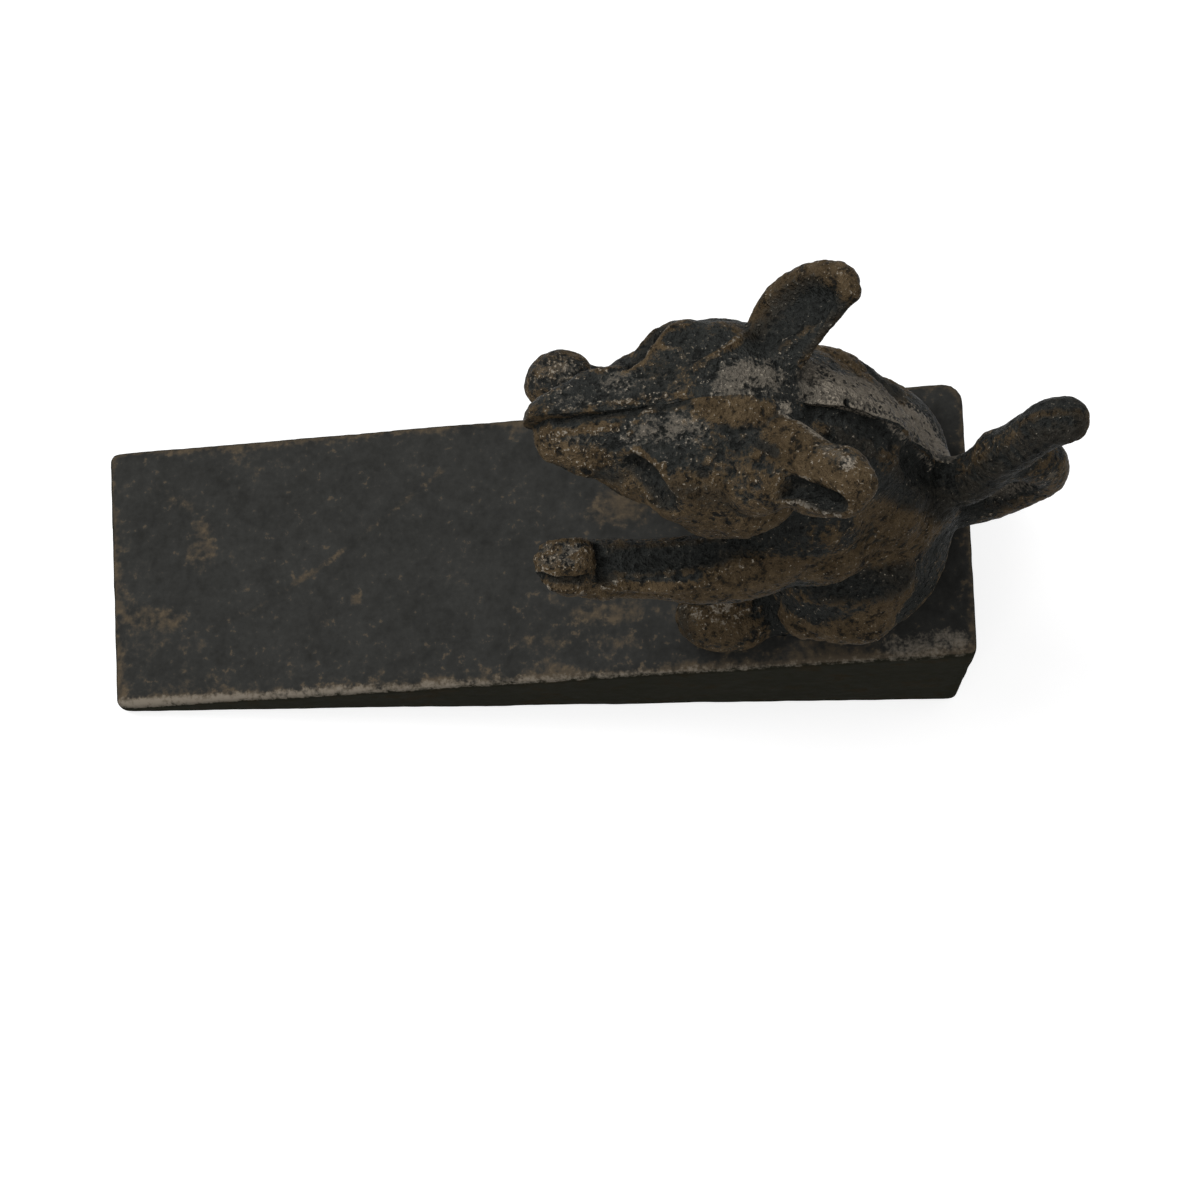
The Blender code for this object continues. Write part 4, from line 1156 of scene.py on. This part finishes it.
class PAPERWEIGHT_OT_stage(bpy.types.Operator):
    """Set the floor, the lamps, the world and the camera"""
    bl_idname = "paperweight.stage"
    bl_label = "Set the stage"

    def execute(self, context):
        settings = context.scene.paperweight_stage
        deselect()
        bpy.ops.mesh.primitive_plane_add(size=settings.floor, location=(0, 0, -0.2 * MM))
        floor = context.object
        floor.name = "floor"
        floor.data.materials.append(floor_material())

        for name, place, aim, size in LAMPS:
            lamp(name, place, aim, size, getattr(settings, name))

        world = context.scene.world or bpy.data.worlds.new("studio")
        context.scene.world = world
        world.use_nodes = True
        room = world.node_tree.nodes["Background"]
        room.inputs["Color"].default_value = (1, 1, 1, 1)
        room.inputs["Strength"].default_value = settings.sky

        deselect()
        bpy.ops.object.camera_add(location=CAMERA_PLACE,
                                  rotation=[math.radians(angle) for angle in CAMERA_TURN])
        camera = context.object
        camera.data.lens = LENS
        camera.data.sensor_width = 36
        camera.data.clip_start = 0.01
        context.scene.camera = camera
        context.scene.view_settings.view_transform = "Standard"
        return {"FINISHED"}


def floor_material():
    """White paper for the eye and for reflections, grey card for bounced light."""
    material = bpy.data.materials.new("pale_floor")
    material.use_nodes = True
    tree = material.node_tree
    tree.nodes.remove(tree.nodes["Principled BSDF"])
    card = tree.nodes.new("ShaderNodeBsdfDiffuse")
    card.inputs["Color"].default_value = (0.35, 0.35, 0.35, 1)
    paper = tree.nodes.new("ShaderNodeBsdfDiffuse")
    paper.inputs["Color"].default_value = (0.9, 0.9, 0.9, 1)
    glow = tree.nodes.new("ShaderNodeEmission")
    glow.inputs["Strength"].default_value = 1.5
    white = tree.nodes.new("ShaderNodeMixShader")
    white.inputs["Fac"].default_value = 0.5
    tree.links.new(paper.outputs[0], white.inputs[1])
    tree.links.new(glow.outputs[0], white.inputs[2])
    path = tree.nodes.new("ShaderNodeLightPath")
    seen = path.outputs["Is Camera Ray"]
    for other in ("Is Glossy Ray", "Is Transmission Ray"):
        either = tree.nodes.new("ShaderNodeMath")
        either.operation = "MAXIMUM"
        tree.links.new(seen, either.inputs[0])
        tree.links.new(path.outputs[other], either.inputs[1])
        seen = either.outputs[0]
    both = tree.nodes.new("ShaderNodeMixShader")
    tree.links.new(seen, both.inputs["Fac"])
    tree.links.new(card.outputs[0], both.inputs[1])
    tree.links.new(white.outputs[0], both.inputs[2])
    tree.links.new(both.outputs[0], tree.nodes["Material Output"].inputs["Surface"])
    return material


class PAPERWEIGHT_PT_panel(bpy.types.Panel):
    """Sidebar panel with every step and its sizes"""
    bl_idname = "PAPERWEIGHT_PT_panel"
    bl_label = "Mouse Wedge Paperweight"
    bl_space_type = "VIEW_3D"
    bl_region_type = "UI"
    bl_category = "Paperweight"

    def draw(self, context):
        layout = self.layout
        for operator, group in (("paperweight.wedge", "paperweight_wedge"),
                                ("paperweight.mouse", "paperweight_mouse"),
                                ("paperweight.screws", "paperweight_finish"),
                                ("paperweight.stage", "paperweight_stage")):
            box = layout.box()
            settings = getattr(context.scene, group)
            for name in settings.bl_rna.properties.keys():
                if name not in ("rna_type", "name"):
                    box.prop(settings, name)
            box.operator(operator)


GROUPS = {"paperweight_wedge": WedgeSettings, "paperweight_mouse": MouseSettings,
          "paperweight_finish": FinishSettings, "paperweight_stage": StageSettings}
CLASSES = (*GROUPS.values(), PAPERWEIGHT_OT_wedge, PAPERWEIGHT_OT_mouse,
           PAPERWEIGHT_OT_screws, PAPERWEIGHT_OT_stage, PAPERWEIGHT_PT_panel)


def register():
    for cls in CLASSES:
        bpy.utils.register_class(cls)
    for name, group in GROUPS.items():
        setattr(bpy.types.Scene, name, PointerProperty(type=group))


def unregister():
    for name in GROUPS:
        delattr(bpy.types.Scene, name)
    for cls in reversed(CLASSES):
        bpy.utils.unregister_class(cls)


def main():
    register()
    bpy.ops.paperweight.wedge()
    bpy.ops.paperweight.mouse()
    bpy.ops.paperweight.screws()
    bpy.ops.paperweight.stage()


if __name__ == "__main__":
    main()
